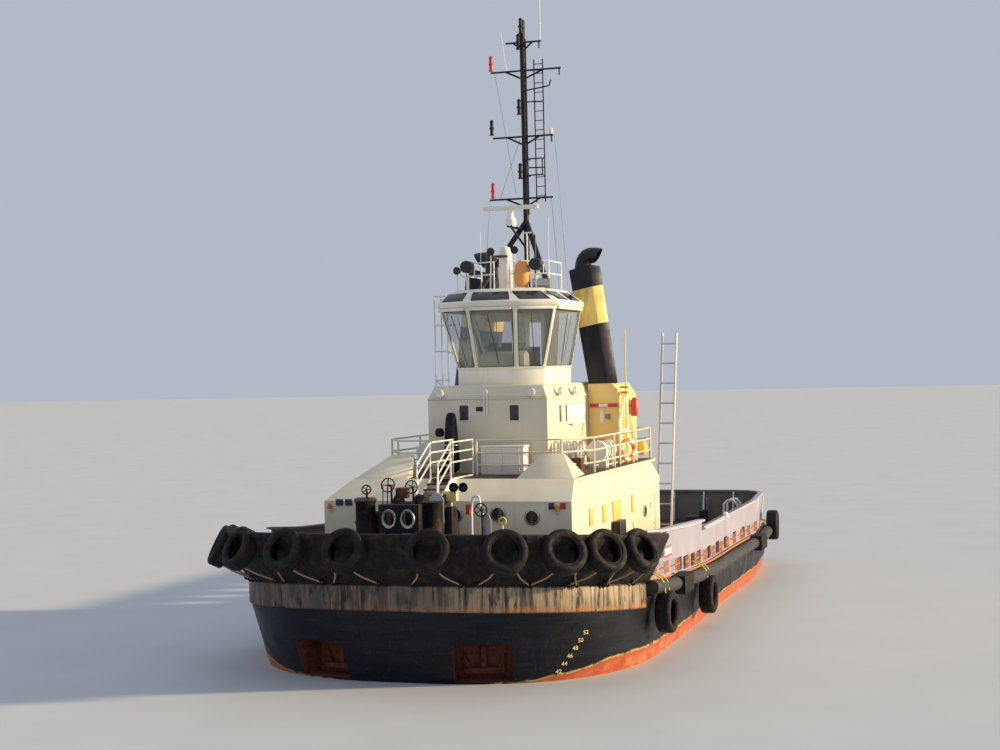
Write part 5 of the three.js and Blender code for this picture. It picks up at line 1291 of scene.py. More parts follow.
def make_plain_nodes():
    """Solids whose shape is already right keep it, with eased edges."""
    for node, finish, slot, soft, body in (
        ("anchor_port", ANCHOR_RUST, "anchor_iron", 0.02, "boat"),
        ("anchor_starboard", ANCHOR_RUST, "anchor_iron", 0.02, "boat"),
        ("house_door_port", CREAM, "cream_paint", 0.008, "house_door_port"),
        ("house_door_starboard", CREAM, "cream_paint", 0.008, "house_door_starboard"),
        ("upper_house_door", CREAM, "cream_paint", 0.008, "upper_house_door"),
        ("wheelhouse_door", ROOF_CREAM, "cream_paint", 0.008, "wheelhouse_door"),
        ("locker_lid", WHITE, "white_paint", 0.008, "locker_lid"),
        ("roof_dome", WHITE, "white_plastic", 0.03, "boat"),
        ("searchlight_port", BLACK, "black_paint", 0.01, "searchlight_port"),
        ("searchlight_starboard", BLACK, "black_paint", 0.01, "searchlight_starboard"),
        ("winch_drum", IRON, "deck_gear", 0.008, "winch_drum"),
        ("winch_frame", IRON, "deck_gear", 0.012, "boat"),
        ("fairlead", IRON, "deck_gear", 0.02, "boat"),
        ("windlass_frame", IRON, "deck_gear", 0.012, "boat"),
        ("windlass_barrel", IRON, "deck_gear", 0.008, "windlass_barrel"),
        ("bitts_bow_port", IRON, "deck_gear", 0.01, "boat"),
        ("bitts_bow_starboard", IRON, "deck_gear", 0.01, "boat"),
        ("bitts_aft_port", IRON, "deck_gear", 0.01, "boat"),
        ("bitts_aft_starboard", IRON, "deck_gear", 0.01, "boat"),
        ("life_raft_port", WHITE, "white_plastic", 0.02, "boat"),
        ("life_raft_starboard", WHITE, "white_plastic", 0.02, "boat"),
        ("gangway", ALLOY, "ladder_alloy", 0.006, "boat"),
        ("tow_hook_post", IRON, "deck_gear", 0.015, "boat"),
        ("tow_hook", IRON, "deck_gear", 0.015, "tow_hook"),
        ("towing_hoop", WHITE, "white_paint", 0.01, "boat"),
        ("thruster_port", THRUSTER, "thruster_paint", 0.012, "thruster_port"),
        ("thruster_starboard", THRUSTER, "thruster_paint", 0.012, "thruster_starboard"),
        ("propeller_port", BRONZE, "bronze", 0.01, "propeller_port"),
        ("propeller_starboard", BRONZE, "bronze", 0.01, "propeller_starboard"),
    ):
        set_in(dressed(node, soft), finish, slot, node, body=body)
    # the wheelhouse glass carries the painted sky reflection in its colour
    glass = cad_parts["wheelhouse_glass"]
    glass.data.materials.clear()
    glass.data.materials.append(GLASS_WITH_PAINTED_SKY)


# Fittings of the deckhouse

# x aft and forward, foot and head of each shutter on the house side
SIDE_SHUTTERS = (
    (7.68, 8.06, 3.50, 4.0), (6.24, 6.6, 3.46, 3.98), (4.5, 5.44, 3.38, 3.98), (2.86, 3.14, 3.46, 3.98),
)
# y, foot, head and finish of each blank board on the house front
FRONT_BOARDS = (
    (2.96, 3.12, 4.12, 4.29, PURPLE), (3.28, 3.44, 4.13, 4.29, RED), (-3.24, -3.02, 4.20, 4.38, PURPLE),
    (-2.96, -2.75, 4.20, 4.38, PURPLE),
)
FRONT_PORTS = ((0.29, 3.96), (1.53, 3.99), (2.49, 3.91))
FRONT_LAMPS = ((3.20, 4.06), (-3.42, 4.10))
SIDE_PORT = (1.42, 3.36)


def make_house_fittings():
    """Ports, boards and lamps on the walls of the lower house."""
    front = HOUSE_FRONT + HAIR
    rims = []
    panes = []
    section = [(0.17, 0), (0.22, 0), (0.22, 0.03), (0.17, 0.045)]
    for y, z in FRONT_PORTS:
        rims.append(turned("port_rim", section, (front, y, z), (1, 0, 0), 28))
        panes.append(drum("port_pane", (front, y, z), (front + 0.02, y, z), 0.175, 0.004, 28))
    side = HOUSE_HALF + HAIR
    x, z = SIDE_PORT
    section = [(0.14, 0), (0.19, 0), (0.19, 0.03), (0.14, 0.04)]
    rims.append(turned("port_rim", section, (x, side, z), (0, 1, 0), 24))
    panes.append(drum("port_pane", (x, side, z), (x, side + 0.015, z), 0.145, 0.004, 24))
    set_in(joined("house_ports", rims), BRIGHT, "white_paint")
    set_in(joined("house_port_panes", panes), DARK_GLASS, "window_glass")
    shutters = [((x0, side, z0), (x1, side + 0.03, z1)) for x0, x1, z0, z1 in SIDE_SHUTTERS]
    port = boxes("side_shutters_port", shutters, 0.01)
    starboard = mirrored(port, "side_shutters_starboard.001")
    for piece in (port, starboard):
        set_in(piece, YELLOW_SHUTTER, "yellow_paint")
    for index, (y0, y1, z0, z1, finish) in enumerate(FRONT_BOARDS):
        board = boxes("front_board_%d" % index, [((front, y0, z0), (front + 0.02, y1, z1))], 0.004)
        set_in(board, finish, "white_paint")
    profile = [(0, 0), (0.05, 0), (0.06, 0.03), (0.045, 0.16), (0, 0.19)]
    lamps = [turned("lamp", profile, (front + 0.06, y, z), (0, 0, 1), 16) for y, z in FRONT_LAMPS]
    set_in(joined("front_lamps", lamps), ORANGE_RAW, "white_plastic")
    feet = [((front, y - 0.05, z - 0.03), (front + 0.1, y + 0.05, z)) for y, z in FRONT_LAMPS]
    set_in(boxes("front_lamp_brackets", feet, 0.006), WHITE, "white_paint")
    box = boxes("side_box", [((4.9, side, 2.95), (5.6, side + 0.26, 3.4))], 0.02)
    set_in(box, BLACK, "deck_gear")
    edge = boxes("side_box_edge", [((4.86, side, 2.93), (4.9, side + 0.27, 3.42))], 0.006)
    set_in(edge, WHITE, "white_paint")
    upright = [(4.35, 3.95, deck_height(4.35) + 0.002), (4.35, 3.95, 3.28)]
    crossbar = [(4.2, 3.95, 3.28), (4.5, 3.95, 3.28)]
    set_in(rods("side_post", [upright, crossbar], 0.025), WHITE, "white_paint")
    seams = []
    for x in (-0.2, 1.9, 3.9, 5.9, 7.4):
        seams.append([(x, side - 0.004, 2.1), (x, side - 0.004, 4.30)])
    seams.append([(front - 0.005, -3.55, KNUCKLE), (front - 0.005, 3.55, KNUCKLE)])
    seams += [[(front - 0.005, y, 3.2), (front - 0.005, y, KNUCKLE)] for y in (-1.9, 2.0)]
    set_in(rods("house_weld_seams", seams, 0.012, 6), CREAM, "cream_paint")


# x, y and the way each floodlight of the upper house looks
FLOODLIGHTS = (
    (6.0, -1.43, (1, 0, 0)), (6.0, 1.41, (1, 0, 0)), (4.9, 1.86, (0, 1, 0)), (3.3, 1.86, (0, 1, 0)),
)


def make_upper_fittings():
    """Windows, lamps and pipes of the upper house."""
    front = UPPER_FRONT + HAIR
    side = UPPER_HALF + HAIR
    panes = []
    rims = []
    for y0, y1, z0, z1 in ((-0.87, -0.56, 6.40, 6.87), (0.69, 1.00, 6.38, 6.86)):
        corners = ((y0, z0), (y1, z0), (y1, z1), (y0, z1))
        panes.append(plate("window", [(front, y, z) for y, z in corners], 0.012, 0.05))
        rims.append([(front + 0.008, y, z) for y, z in (*corners, corners[0])])
    for x0, x1 in ((4.5, 4.78), (3.1, 4.1)):
        for y in (side, -side):
            corners = [(x1, y, 6.28), (x0, y, 6.28), (x0, y, 6.80), (x1, y, 6.80)]
            if y < 0:
                corners = [corners[1], corners[0], corners[3], corners[2]]
            panes.append(plate("window", corners, 0.012, 0.05))
            rims.append([*corners, corners[0]])
    set_in(joined("upper_windows", panes), DARK_GLASS, "window_glass")
    set_in(rods("upper_window_rims", rims, 0.016, 8, 0.05), WHITE, "white_paint")
    corners = [(3.95, side, 6.2), (3.2, side + 0.34, 6.2), (3.2, side + 0.34, 6.78), (3.95, side, 6.78)]
    set_in(plate("upper_shutter", corners, 0.02, 0.03), WHITE, "white_paint")
    profile = [(0, 0), (0.20, 0), (0.20, 0.05), (0.15, 0.07), (0, 0.04)]
    set_in(turned("side_vent", profile, (2.58, side, 6.53), (0, 1, 0), 24), BLACK, "black_paint")
    profile = [(0, -0.02), (0.09, 0), (0.12, 0.07), (0.12, 0.13), (0.105, 0.14), (0.10, 0.12), (0, 0.115)]
    for index, (x, y, way) in enumerate(FLOODLIGHTS):
        place = facing((x, y, 7.22), way)
        body = turned("flood", profile, (0.03, 0, 0), (1, 0, 0), 20)
        arm = boxes("flood_arm", [((-0.02, -0.02, -0.16), (0.05, 0.02, -0.05))], 0.004)
        lamp = joined("floodlight_%d" % index, [body, arm])
        lamp.data.transform(place)
        set_in(lamp, WHITE, "white_plastic")
    pipe = [(6.05, -0.07, 6.62), (6.05, -0.07, 7.30), (6.05, 0.02, 7.30), (6.05, 0.02, 6.62)]
    set_in(rods("front_air_pipe", [pipe], 0.022, 10, 0.05), WHITE, "white_paint")
    set_in(
        boxes("front_plate", [((front, -0.34, 6.68), (front + 0.012, -0.13, 6.81))], 0.003), BLACK,
        "black_paint",
    )
    out = side + 0.01
    gutter = [(x, y, UPPER_TOP - 0.03) for x, y in ((1.5, out), (6.01, out), (6.01, -out), (1.5, -out))]
    set_in(rods("upper_house_gutter", [gutter], 0.022, 8, 0.05), CREAM, "cream_paint")


CASING_FRONT = 1.5
CASING_HALF = 2.9


def make_casing_fittings():
    """Bar, plates, bottle and pole on the port funnel casing, and louvres on both casings."""
    front = CASING_FRONT + HAIR
    red = boxes("casing_bar", [((front, 1.92, 6.63), (front + 0.03, 2.84, 6.75))], 0.006)
    set_in(red, RED, "white_paint")
    middle = boxes("casing_bar_middle", [((front + 0.03, 2.22, 6.64), (front + 0.036, 2.51, 6.74))], 0.002)
    set_in(middle, WHITE, "white_paint")
    oval = turned(
        "casing_port", [(0, 0), (0.09, 0), (0.09, 0.02), (0.06, 0.03), (0, 0.03)], (0, 0, 0), (1, 0, 0),
        24,
    )
    oval.data.transform(Matrix.Translation((front, 2.32, 6.34)) @ Matrix.Diagonal((1, 0.8, 2.4, 1)))
    set_in(oval, WHITE, "white_paint")
    switch = boxes("casing_switch_box", [((front, 2.44, 6.26), (front + 0.08, 2.57, 6.41))], 0.01)
    set_in(switch, GREY, "deck_gear")
    arms = [((1.30, CASING_HALF, z0), (1.46, 3.14, z1)) for z0, z1 in ((7.05, 7.12), (7.22, 7.28))]
    set_in(boxes("pole_bracket", arms, 0.008), ORANGE_RAW, "white_plastic")
    set_in(rods("casing_pole", [[(1.38, 3.07, 6.95), (1.38, 3.07, 9.1)]], 0.022), YELLOW, "yellow_paint")
    profile = [(0, 0), (0.11, 0), (0.12, 0.03), (0.12, 0.44), (0.07, 0.52), (0.03, 0.55), (0, 0.55)]
    set_in(turned("red_bottle", profile, (0.2, 3.05, 6.35), (0, 0, 1), 20), RED, "white_paint")
    shelf = ((0.08, CASING_HALF, 6.30), (0.32, 3.16, 6.35))
    strap = ((0.08, CASING_HALF, 6.62), (0.32, 2.95, 6.66))
    set_in(boxes("bottle_bracket", [shelf, strap], 0.006), GREY, "deck_gear")
    for name, side in SIDES:
        slats = []
        for x in (0.9, -0.2):
            for k in range(9):
                z = 5.45 + 0.1 * k
                slats.append(
                    ((x - 0.3, side * (CASING_HALF + HAIR), z), (x + 0.3, side * 2.93, 5.50 + 0.1 * k)),
                )
        set_in(boxes("casing_louvres_" + name, slats, 0.006), CASING_YELLOW, "yellow_paint")


# Fittings of the boat deck

# height and half widths of each level of the canvas-covered item, and its middle
COVER_LEVELS = (
    (BOAT_DECK + HAIR, 0.27, 0.27), (5.3, 0.26, 0.26), (5.75, 0.22, 0.22), (6.2, 0.19, 0.20),
    (6.55, 0.16, 0.17), (6.68, 0.10, 0.12),
)
COVER_MIDDLE = (6.6, -0.92)
SQUARE = ((1, 1), (-1, 1), (-1, -1), (1, -1))
BUOY = {"x": 1.5, "y": 3.12, "z": 5.28, "radius": 0.30, "thick": 0.075}


def buoy_sector(face):
    """Which eighth of a lifebuoy a face is in."""
    turn = math.atan2(face.center.z - BUOY["z"], face.center.x - BUOY["x"]) + math.pi
    return int(turn / (math.pi / 4))


def make_boat_deck_gear():
    """What stands on the boat deck between the rails."""
    deck = BOAT_DECK + HAIR
    x, y = COVER_MIDDLE
    rings = [
        [Vector((x + sx * half_x, y + sy * half_y, z)) for sx, sy in SQUARE]
        for z, half_x, half_y in COVER_LEVELS
    ]
    cover = skin("canvas_tower", rings)
    shaped(cover, "SUBSURF", levels=2)
    set_in(eased(cover, 0), CANVAS, "black_paint")
    strap = [(6.84, -1.14, 5.72), (6.84, -0.70, 5.72), (6.40, -0.70, 5.72), (6.40, -1.14, 5.72)]
    set_in(rods("tower_strap", [[*strap, strap[0]]], 0.014, 6), WHITE, "white_paint")
    profile = [(0, 0), (0.11, 0.02), (0.14, 0.12), (0.11, 0.24), (0, 0.27)]
    lobes = [turned("lobe", profile, (6.6, -1.28, z), (0, 0, 1), 16) for z in (deck, 5.95)]
    set_in(joined("tower_lobes", lobes), CANVAS, "black_paint")
    battens = [((6.67, y, 4.95), (6.70, y + 0.03, 5.60)) for y in (0.12, 0.62, 1.15)]
    set_in(boxes("locker_trim", battens, 0.004), WHITE, "white_paint")
    pipes = []
    for y in (1.97, 2.16, 2.35, 2.54, 2.74):
        pipes.append(
            [(5.6, y - 0.05, deck), (5.6, y - 0.05, 5.74), (5.6, y + 0.06, 5.74), (5.6, y + 0.06, 5.36)],
        )
    set_in(rods("air_pipes", pipes, 0.032, 10, 0.06), WHITE, "white_paint")
    cradle = []
    for x in (2.85, 3.75):
        cradle.append([(x, 2.5, deck), (x, 2.5, 5.10), (x, 3.0, 5.10), (x, 3.0, deck)])
    for y in (2.45, 2.75, 3.05):
        cradle.append([(2.6, y, 4.95), (4.0, y, 4.95)])
    for name, side in SIDES:
        runs = [[(x, side * y, z) for x, y, z in run] for run in cradle]
        set_in(rods("raft_cradle_" + name, runs, 0.022), WHITE, "white_paint")
        section = [(0.318, -0.02), (0.330, -0.02), (0.330, 0.02), (0.318, 0.02)]
        middles = [(x, side * 2.75, BOAT_DECK + 0.52) for x in (2.98, 3.3, 3.62)]
        bands = [turned("band", section, middle, (1, 0, 0), 32) for middle in middles]
        set_in(joined("raft_bands_" + name, bands), BLACK, "black_paint")
        frame_runs = [
            [
                (1.95, side * 2.98, deck), (1.95, side * 2.98, 6.2), (1.0, side * 2.98, 7.1),
                (1.0, side * 2.98, deck),
            ],
            [(0.55, side * 2.98, 6.34), (-0.2, side * 2.98, 5.5), (-0.2, side * 2.98, deck)],
            [(1.0, side * 2.98, 5.9), (1.95, side * 2.98, 5.9)],
        ]
        set_in(rods("davit_frame_" + name, frame_runs, 0.035, 10, 0.12), WHITE, "white_paint")
        middle = (BUOY["x"], side * BUOY["y"], BUOY["z"])
        ring = hoop("lifebuoy_" + name, BUOY["radius"], BUOY["thick"], 10, middle, (0.5, side, 0), 36)
        ring.data.materials.append(BUOY_ORANGE)
        painted_faces(ring, WHITE, lambda face: buoy_sector(face) % 2 == 0)
        set_in(ring, None, "white_plastic")
    profile = [(0, -0.24), (0.10, -0.23), (0.155, -0.14), (0.165, 0), (0.15, 0.14), (0.10, 0.22), (0, 0.24)]
    bag = turned("heaving_line_bag", profile, (-0.9, 3.02, 5.22), (0, 0, 1), 20)
    set_in(bag, YELLOW, "yellow_paint")
    hook = [(-0.9, 3.02, 5.44), (-0.9, 3.10, 5.56), (-0.9, 3.15, 5.50)]
    set_in(rods("bag_hook", [hook], 0.014, 6), BLACK, "black_paint")
    gear = boxes("deck_box_port", [((6.0, 2.62, deck), (6.35, 2.95, 5.30))], 0.03)
    set_in(gear, COPPER_RUST, "deck_gear")
    runs = [((y, deck), (y, 10.2)) for y in (-2.32, -2.10, -1.90)]
    runs += [((-2.32, z), (-1.90, z)) for z in (7.6, 8.5, 9.3, 10.2)]
    runs += [((-1.90, 9.3), (-1.62, 9.3)), ((-1.90, 8.5), (-1.50, 8.3)), ((-2.32, 7.6), (-1.86, 7.2))]
    frame_runs = [[(4.0, y, z) for y, z in run] for run in runs]
    set_in(rods("starboard_ladder_frame", frame_runs, 0.024, 8), WHITE, "white_paint")


# Fittings of the foredeck

def handwheel(name, point, way, radius):
    """A spoked wheel on a short spindle."""
    rim = hoop(name, radius, 0.018, 8, (0, 0, 0), (1, 0, 0), 28)
    turns = [k / 5 * 2 * math.pi for k in range(5)]
    spokes = [[(0, 0, 0), (0, radius * math.cos(a), radius * math.sin(a))] for a in turns]
    spindle = [(-0.14, 0, 0), (0.02, 0, 0)]
    spider = rods("spokes", [*spokes, spindle], 0.013, 6)
    wheel = joined(name, [rim, spider])
    wheel.data.transform(facing(point, way))
    return wheel


# place, way and radius of each handwheel, then the tops of their stems
HANDWHEELS = (
    ((11.15, -0.44, 4.82), (1, 0, 0), 0.17), ((11.2, 1.52, 4.22), (1, 0, 0), 0.17),
    ((11.2, -1.72, 4.75), (1, 0.3, 0.2), 0.12),
)
WHEEL_STEMS = ((11.03, -0.44, 4.82), (11.1, 1.52, 4.22), (11.08, -1.76, 4.72))
CAPSTANS = ((10.9, -1.88, 3.82), (10.9, -0.15, 3.80))
# x of the fairlead's face and height of its two rope holes
ROPE_HOLES = (12.535, 4.09)
# y of each control lever and height of its knob
LEVERS = ((-1.25, 4.86), (-1.12, 4.80), (-0.99, 4.84), (-0.86, 4.78))


def make_foredeck_gear():
    """Controls, lamps, plates and rope gear round the winch."""
    deck = deck_height(10.9) + 0.002
    wheels = [handwheel("wheel", *wheel) for wheel in HANDWHEELS]
    set_in(joined("winch_handwheels", wheels), IRON, "deck_gear")
    stems = [[(x, y, z), (x, y, deck)] for x, y, z in WHEEL_STEMS]
    set_in(rods("wheel_stems", stems, 0.03), IRON, "deck_gear")
    levers = [[(11.2, y, 4.25), (11.24, y + 0.03, z)] for y, z in LEVERS]
    set_in(rods("winch_levers", levers, 0.014, 6), BLACK, "black_paint")
    profile = [(0, -0.03), (0.025, -0.02), (0.03, 0), (0.02, 0.025), (0, 0.03)]
    knobs = [turned("knob", profile, top, (0, 0, 1), 12) for _, top in levers]
    set_in(joined("lever_knobs", knobs), RED, "black_paint")
    control = [
        ((11.02, -0.88, 4.52), (11.22, -0.54, 4.80)), ((11.08, -1.34, deck), (11.26, -0.76, 4.28)),
        ((11.09, -0.80, 4.20), (11.17, -0.68, 4.55)),
    ]
    set_in(boxes("control_box", control, 0.02), COPPER_RUST, "deck_gear")
    outline = [
        (0.12, deck), (0.52, deck), (0.52, 4.50), (0.44, 4.64), (0.32, 4.69), (0.20, 4.64), (0.12, 4.50),
    ]
    set_in(slab("grey_guard", outline, "x", 11.28, 11.31, 0.006), PALE_STEEL, "deck_gear")
    base = boxes("horn_lamp_base", [((10.72, 0.36, 4.42), (10.92, 0.74, 4.68))], 0.02)
    set_in(base, MARK_YELLOW, "white_paint")
    stalk = rods("horn_lamp_stalk", [[(10.8, 0.55, 4.43), (10.8, 0.55, deck)]], 0.035)
    set_in(stalk, WHITE, "white_paint")
    profile = [
        (0, 0), (0.05, 0), (0.06, 0.10), (0.12, 0.20), (0.13, 0.24), (0.115, 0.24), (0.05, 0.14), (0, 0.13),
    ]
    horns = [turned("horn", profile, (10.78, y, 4.80), (1, 0.1, 0), 20) for y in (0.68, 0.95)]
    set_in(joined("horn_lamps", horns), BLACK, "black_paint")
    bars = [[(10.8, 0.6, 4.80), (10.8, 1.0, 4.80)], [(10.8, 0.7, 4.80), (10.8, 0.6, 4.66)]]
    set_in(rods("horn_lamp_bar", bars, 0.02), BLACK, "black_paint")
    set_in(boxes("red_switch", [((11.0, 1.05, 4.08), (11.08, 1.17, 4.36))], 0.01), RED, "white_paint")
    hooked = [(11.0, 1.18, 4.10), (11.0, 1.22, 4.55), (11.0, 1.40, 4.58), (11.0, 1.44, 4.30)]
    set_in(rods("hooked_pipe", [hooked], 0.035, 10, 0.1), WHITE, "white_paint")
    posts = [[(11.0, y, deck), (11.0, y, 4.12)] for y in (1.18, 1.48)]
    set_in(rods("foredeck_posts", posts, 0.045, 12), WHITE, "white_paint")
    outline = [(1.50, deck), (1.74, deck), (1.74, 3.95), (1.68, 4.08), (1.58, 4.11), (1.50, 4.05)]
    set_in(slab("curved_guard", outline, "x", 11.02, 11.05, 0.006), PALE_STEEL, "deck_gear")
    ring = hoop("yellow_ring", 0.09, 0.025, 8, (11.1, 2.08, 3.92), (1, 0.2, 0), 24)
    set_in(ring, YELLOW, "yellow_paint")
    set_in(rods("ring_post", [[(11.1, 2.08, 3.82), (11.1, 2.08, deck)]], 0.025), WHITE, "white_paint")
    profile = [
        (0, 0), (0.30, 0), (0.31, 0.06), (0.25, 0.12), (0.22, 0.30), (0.24, 0.52), (0.31, 0.60), (0.31, 0.66),
        (0.26, 0.69), (0, 0.70),
    ]
    heads = [turned("capstan", profile, point, (0, 0, 1), 32) for point in CAPSTANS]
    set_in(joined("capstan_heads", heads), COPPER_RUST, "deck_gear")
    feet = [[(x, y, deck), (x, y, z + 0.02)] for x, y, z in CAPSTANS]
    set_in(rods("capstan_feet", feet, 0.20, 20), IRON, "deck_gear")
    profile = [(0.14, -0.02), (0.19, 0), (0.205, 0.03), (0.19, 0.05), (0.15, 0.04)]
    x, z = ROPE_HOLES
    rims = joined(
        "rope_hole_rims", [turned("rim", profile, (x, y, z), (1, 0, 0), 32) for y in (-0.54, -0.02)],
    )
    for vertex in rims.data.vertices:
        vertex.co.z = z + (vertex.co.z - z) * 1.25
    set_in(rims, BRIGHT, "deck_gear")


# Fittings along the bulwarks

FREEING_PORTS = {"fore": 8.9, "aft": -8.6, "apart": 1.45}
# x of both ends of each length of bulwark cap, and its height over the deck edge there
BULWARK_CAPS = ((9.45, 1.40, 1.31, 1.35), (1.30, -8.5, 1.09, 1.21))


def make_bulwark_fittings():
    """Bars over the freeing ports, a rubbing line, boards, lamps and stanchions."""
    for name, side in SIDES:
        bars = []
        x = FREEING_PORTS["fore"]
        while x > FREEING_PORTS["aft"]:
            y = side * (HALF_BEAM * side_taper(x) - 0.02)
            foot = deck_height(x) + 0.14
            for k in range(4):
                at = x - 0.42 + 0.16 * k
                bars.append([(at, y, foot), (at, y, foot + 0.34)])
            bars.append([(x - 0.50, y, foot + 0.17), (x + 0.14, y, foot + 0.17)])
            x -= FREEING_PORTS["apart"]
        set_in(rods("freeing_port_bars_" + name, bars, 0.014, 6), ORANGE_RAW, "bulwark_paint")
        caps = []
        for start, end, rise_a, rise_b in BULWARK_CAPS:
            run = []
            for k in range(9):
                at = start + (end - start) * k / 8
                rise = rise_a + (rise_b - rise_a) * k / 8
                run.append((at, side * (HALF_BEAM * side_taper(at) - 0.05), deck_height(at) + rise + 0.012))
            caps.append(run)
        set_in(rods("bulwark_cap_" + name, caps, 0.034, 8), CAP, "bulwark_paint")
        rub = []
        for k in range(15):
            at = 9.4 - 18 * k / 14
            rub.append((at, side * HALF_BEAM * side_taper(at), deck_height(at) + 0.05))
        set_in(rods("rust_line_" + name, [rub], 0.03, 6), ORANGE_RAW, "bulwark_paint")
    boards = [((8.35, 7.55), (3.02, 3.34)), ((7.75, 6.95), (2.62, 2.92))]
    for index, ((x0, x1), (z0, z1)) in enumerate(boards):
        y = HALF_BEAM + 0.035
        board = boxes("side_board_%d" % index, [((x1, y, z0), (x0, y + 0.02, z1))], 0.004)
        set_in(board, WHITE, "white_paint")
        strips = [
            ((x1, y + 0.02, low), (x0, y + 0.024, high))
            for low, high in ((z0, z0 + 0.05), (z1 - 0.05, z1))
        ]
        edge = boxes("side_board_edge_%d" % index, strips, 0.001)
        set_in(edge, RED if index else BLACK, "white_paint")
        z = (z0 + z1) / 2
        pegs = [
            ((x - 0.03, y - 0.10, z - 0.03), (x + 0.03, y + 0.004, z + 0.03))
            for x in (x0 - 0.1, x1 + 0.1)
        ]
        set_in(boxes("side_board_pegs_%d" % index, pegs, 0.003), WHITE, "white_paint")
    profile = [(0, 0), (0.08, 0), (0.09, 0.03), (0.09, 0.16), (0.05, 0.2), (0, 0.2)]
    lamp = turned("bulwark_lamp", profile, (-2.6, HALF_BEAM - 0.20, 2.78), (0, 0, 1), 18)
    set_in(lamp, WHITE, "white_plastic")
    stays = []
    for _, side in SIDES:
        for x in (-9.6, -10.8, -12.0):
            half = HALF_BEAM * side_taper(x)
            stays.append([(x, side * (half - 0.42), 1.63), (x, side * (half - 0.28), 2.78)])
    for y in (-3.6, -2.4, -1.2, 0, 1.2, 2.4, 3.6):
        stays.append([(-13.62, y, 1.63), (-13.90, y, 2.78)])
    set_in(rods("stern_stanchions", stays, 0.035, 8), WHITE, "white_paint")
    gear = boxes(
        "aft_gear", [((-11.9, 2.2, 1.63), (-11.2, 2.7, 2.05)), ((-8.4, -3.8, 1.66), (-7.2, -3.0, 2.1))],
        0.05,
    )
    set_in(gear, BLACK, "deck_gear")


# Fittings of the wheelhouse and its roof

DOME_MIDDLE = (4.40, 0.0, 11.30)
# place and way of each small lamp on the roof
ROOF_LAMPS = (
    ((4.25, -1.45, 10.95), (1, -0.4, 0)), ((4.4, -0.30, 11.48), (1, 0, 0)), ((4.4, 0.45, 11.50), (1, 0.2, 0)),
)
# a place well inside the wheelhouse, from which every wall faces away
WHEELHOUSE_MIDDLE = 2.9


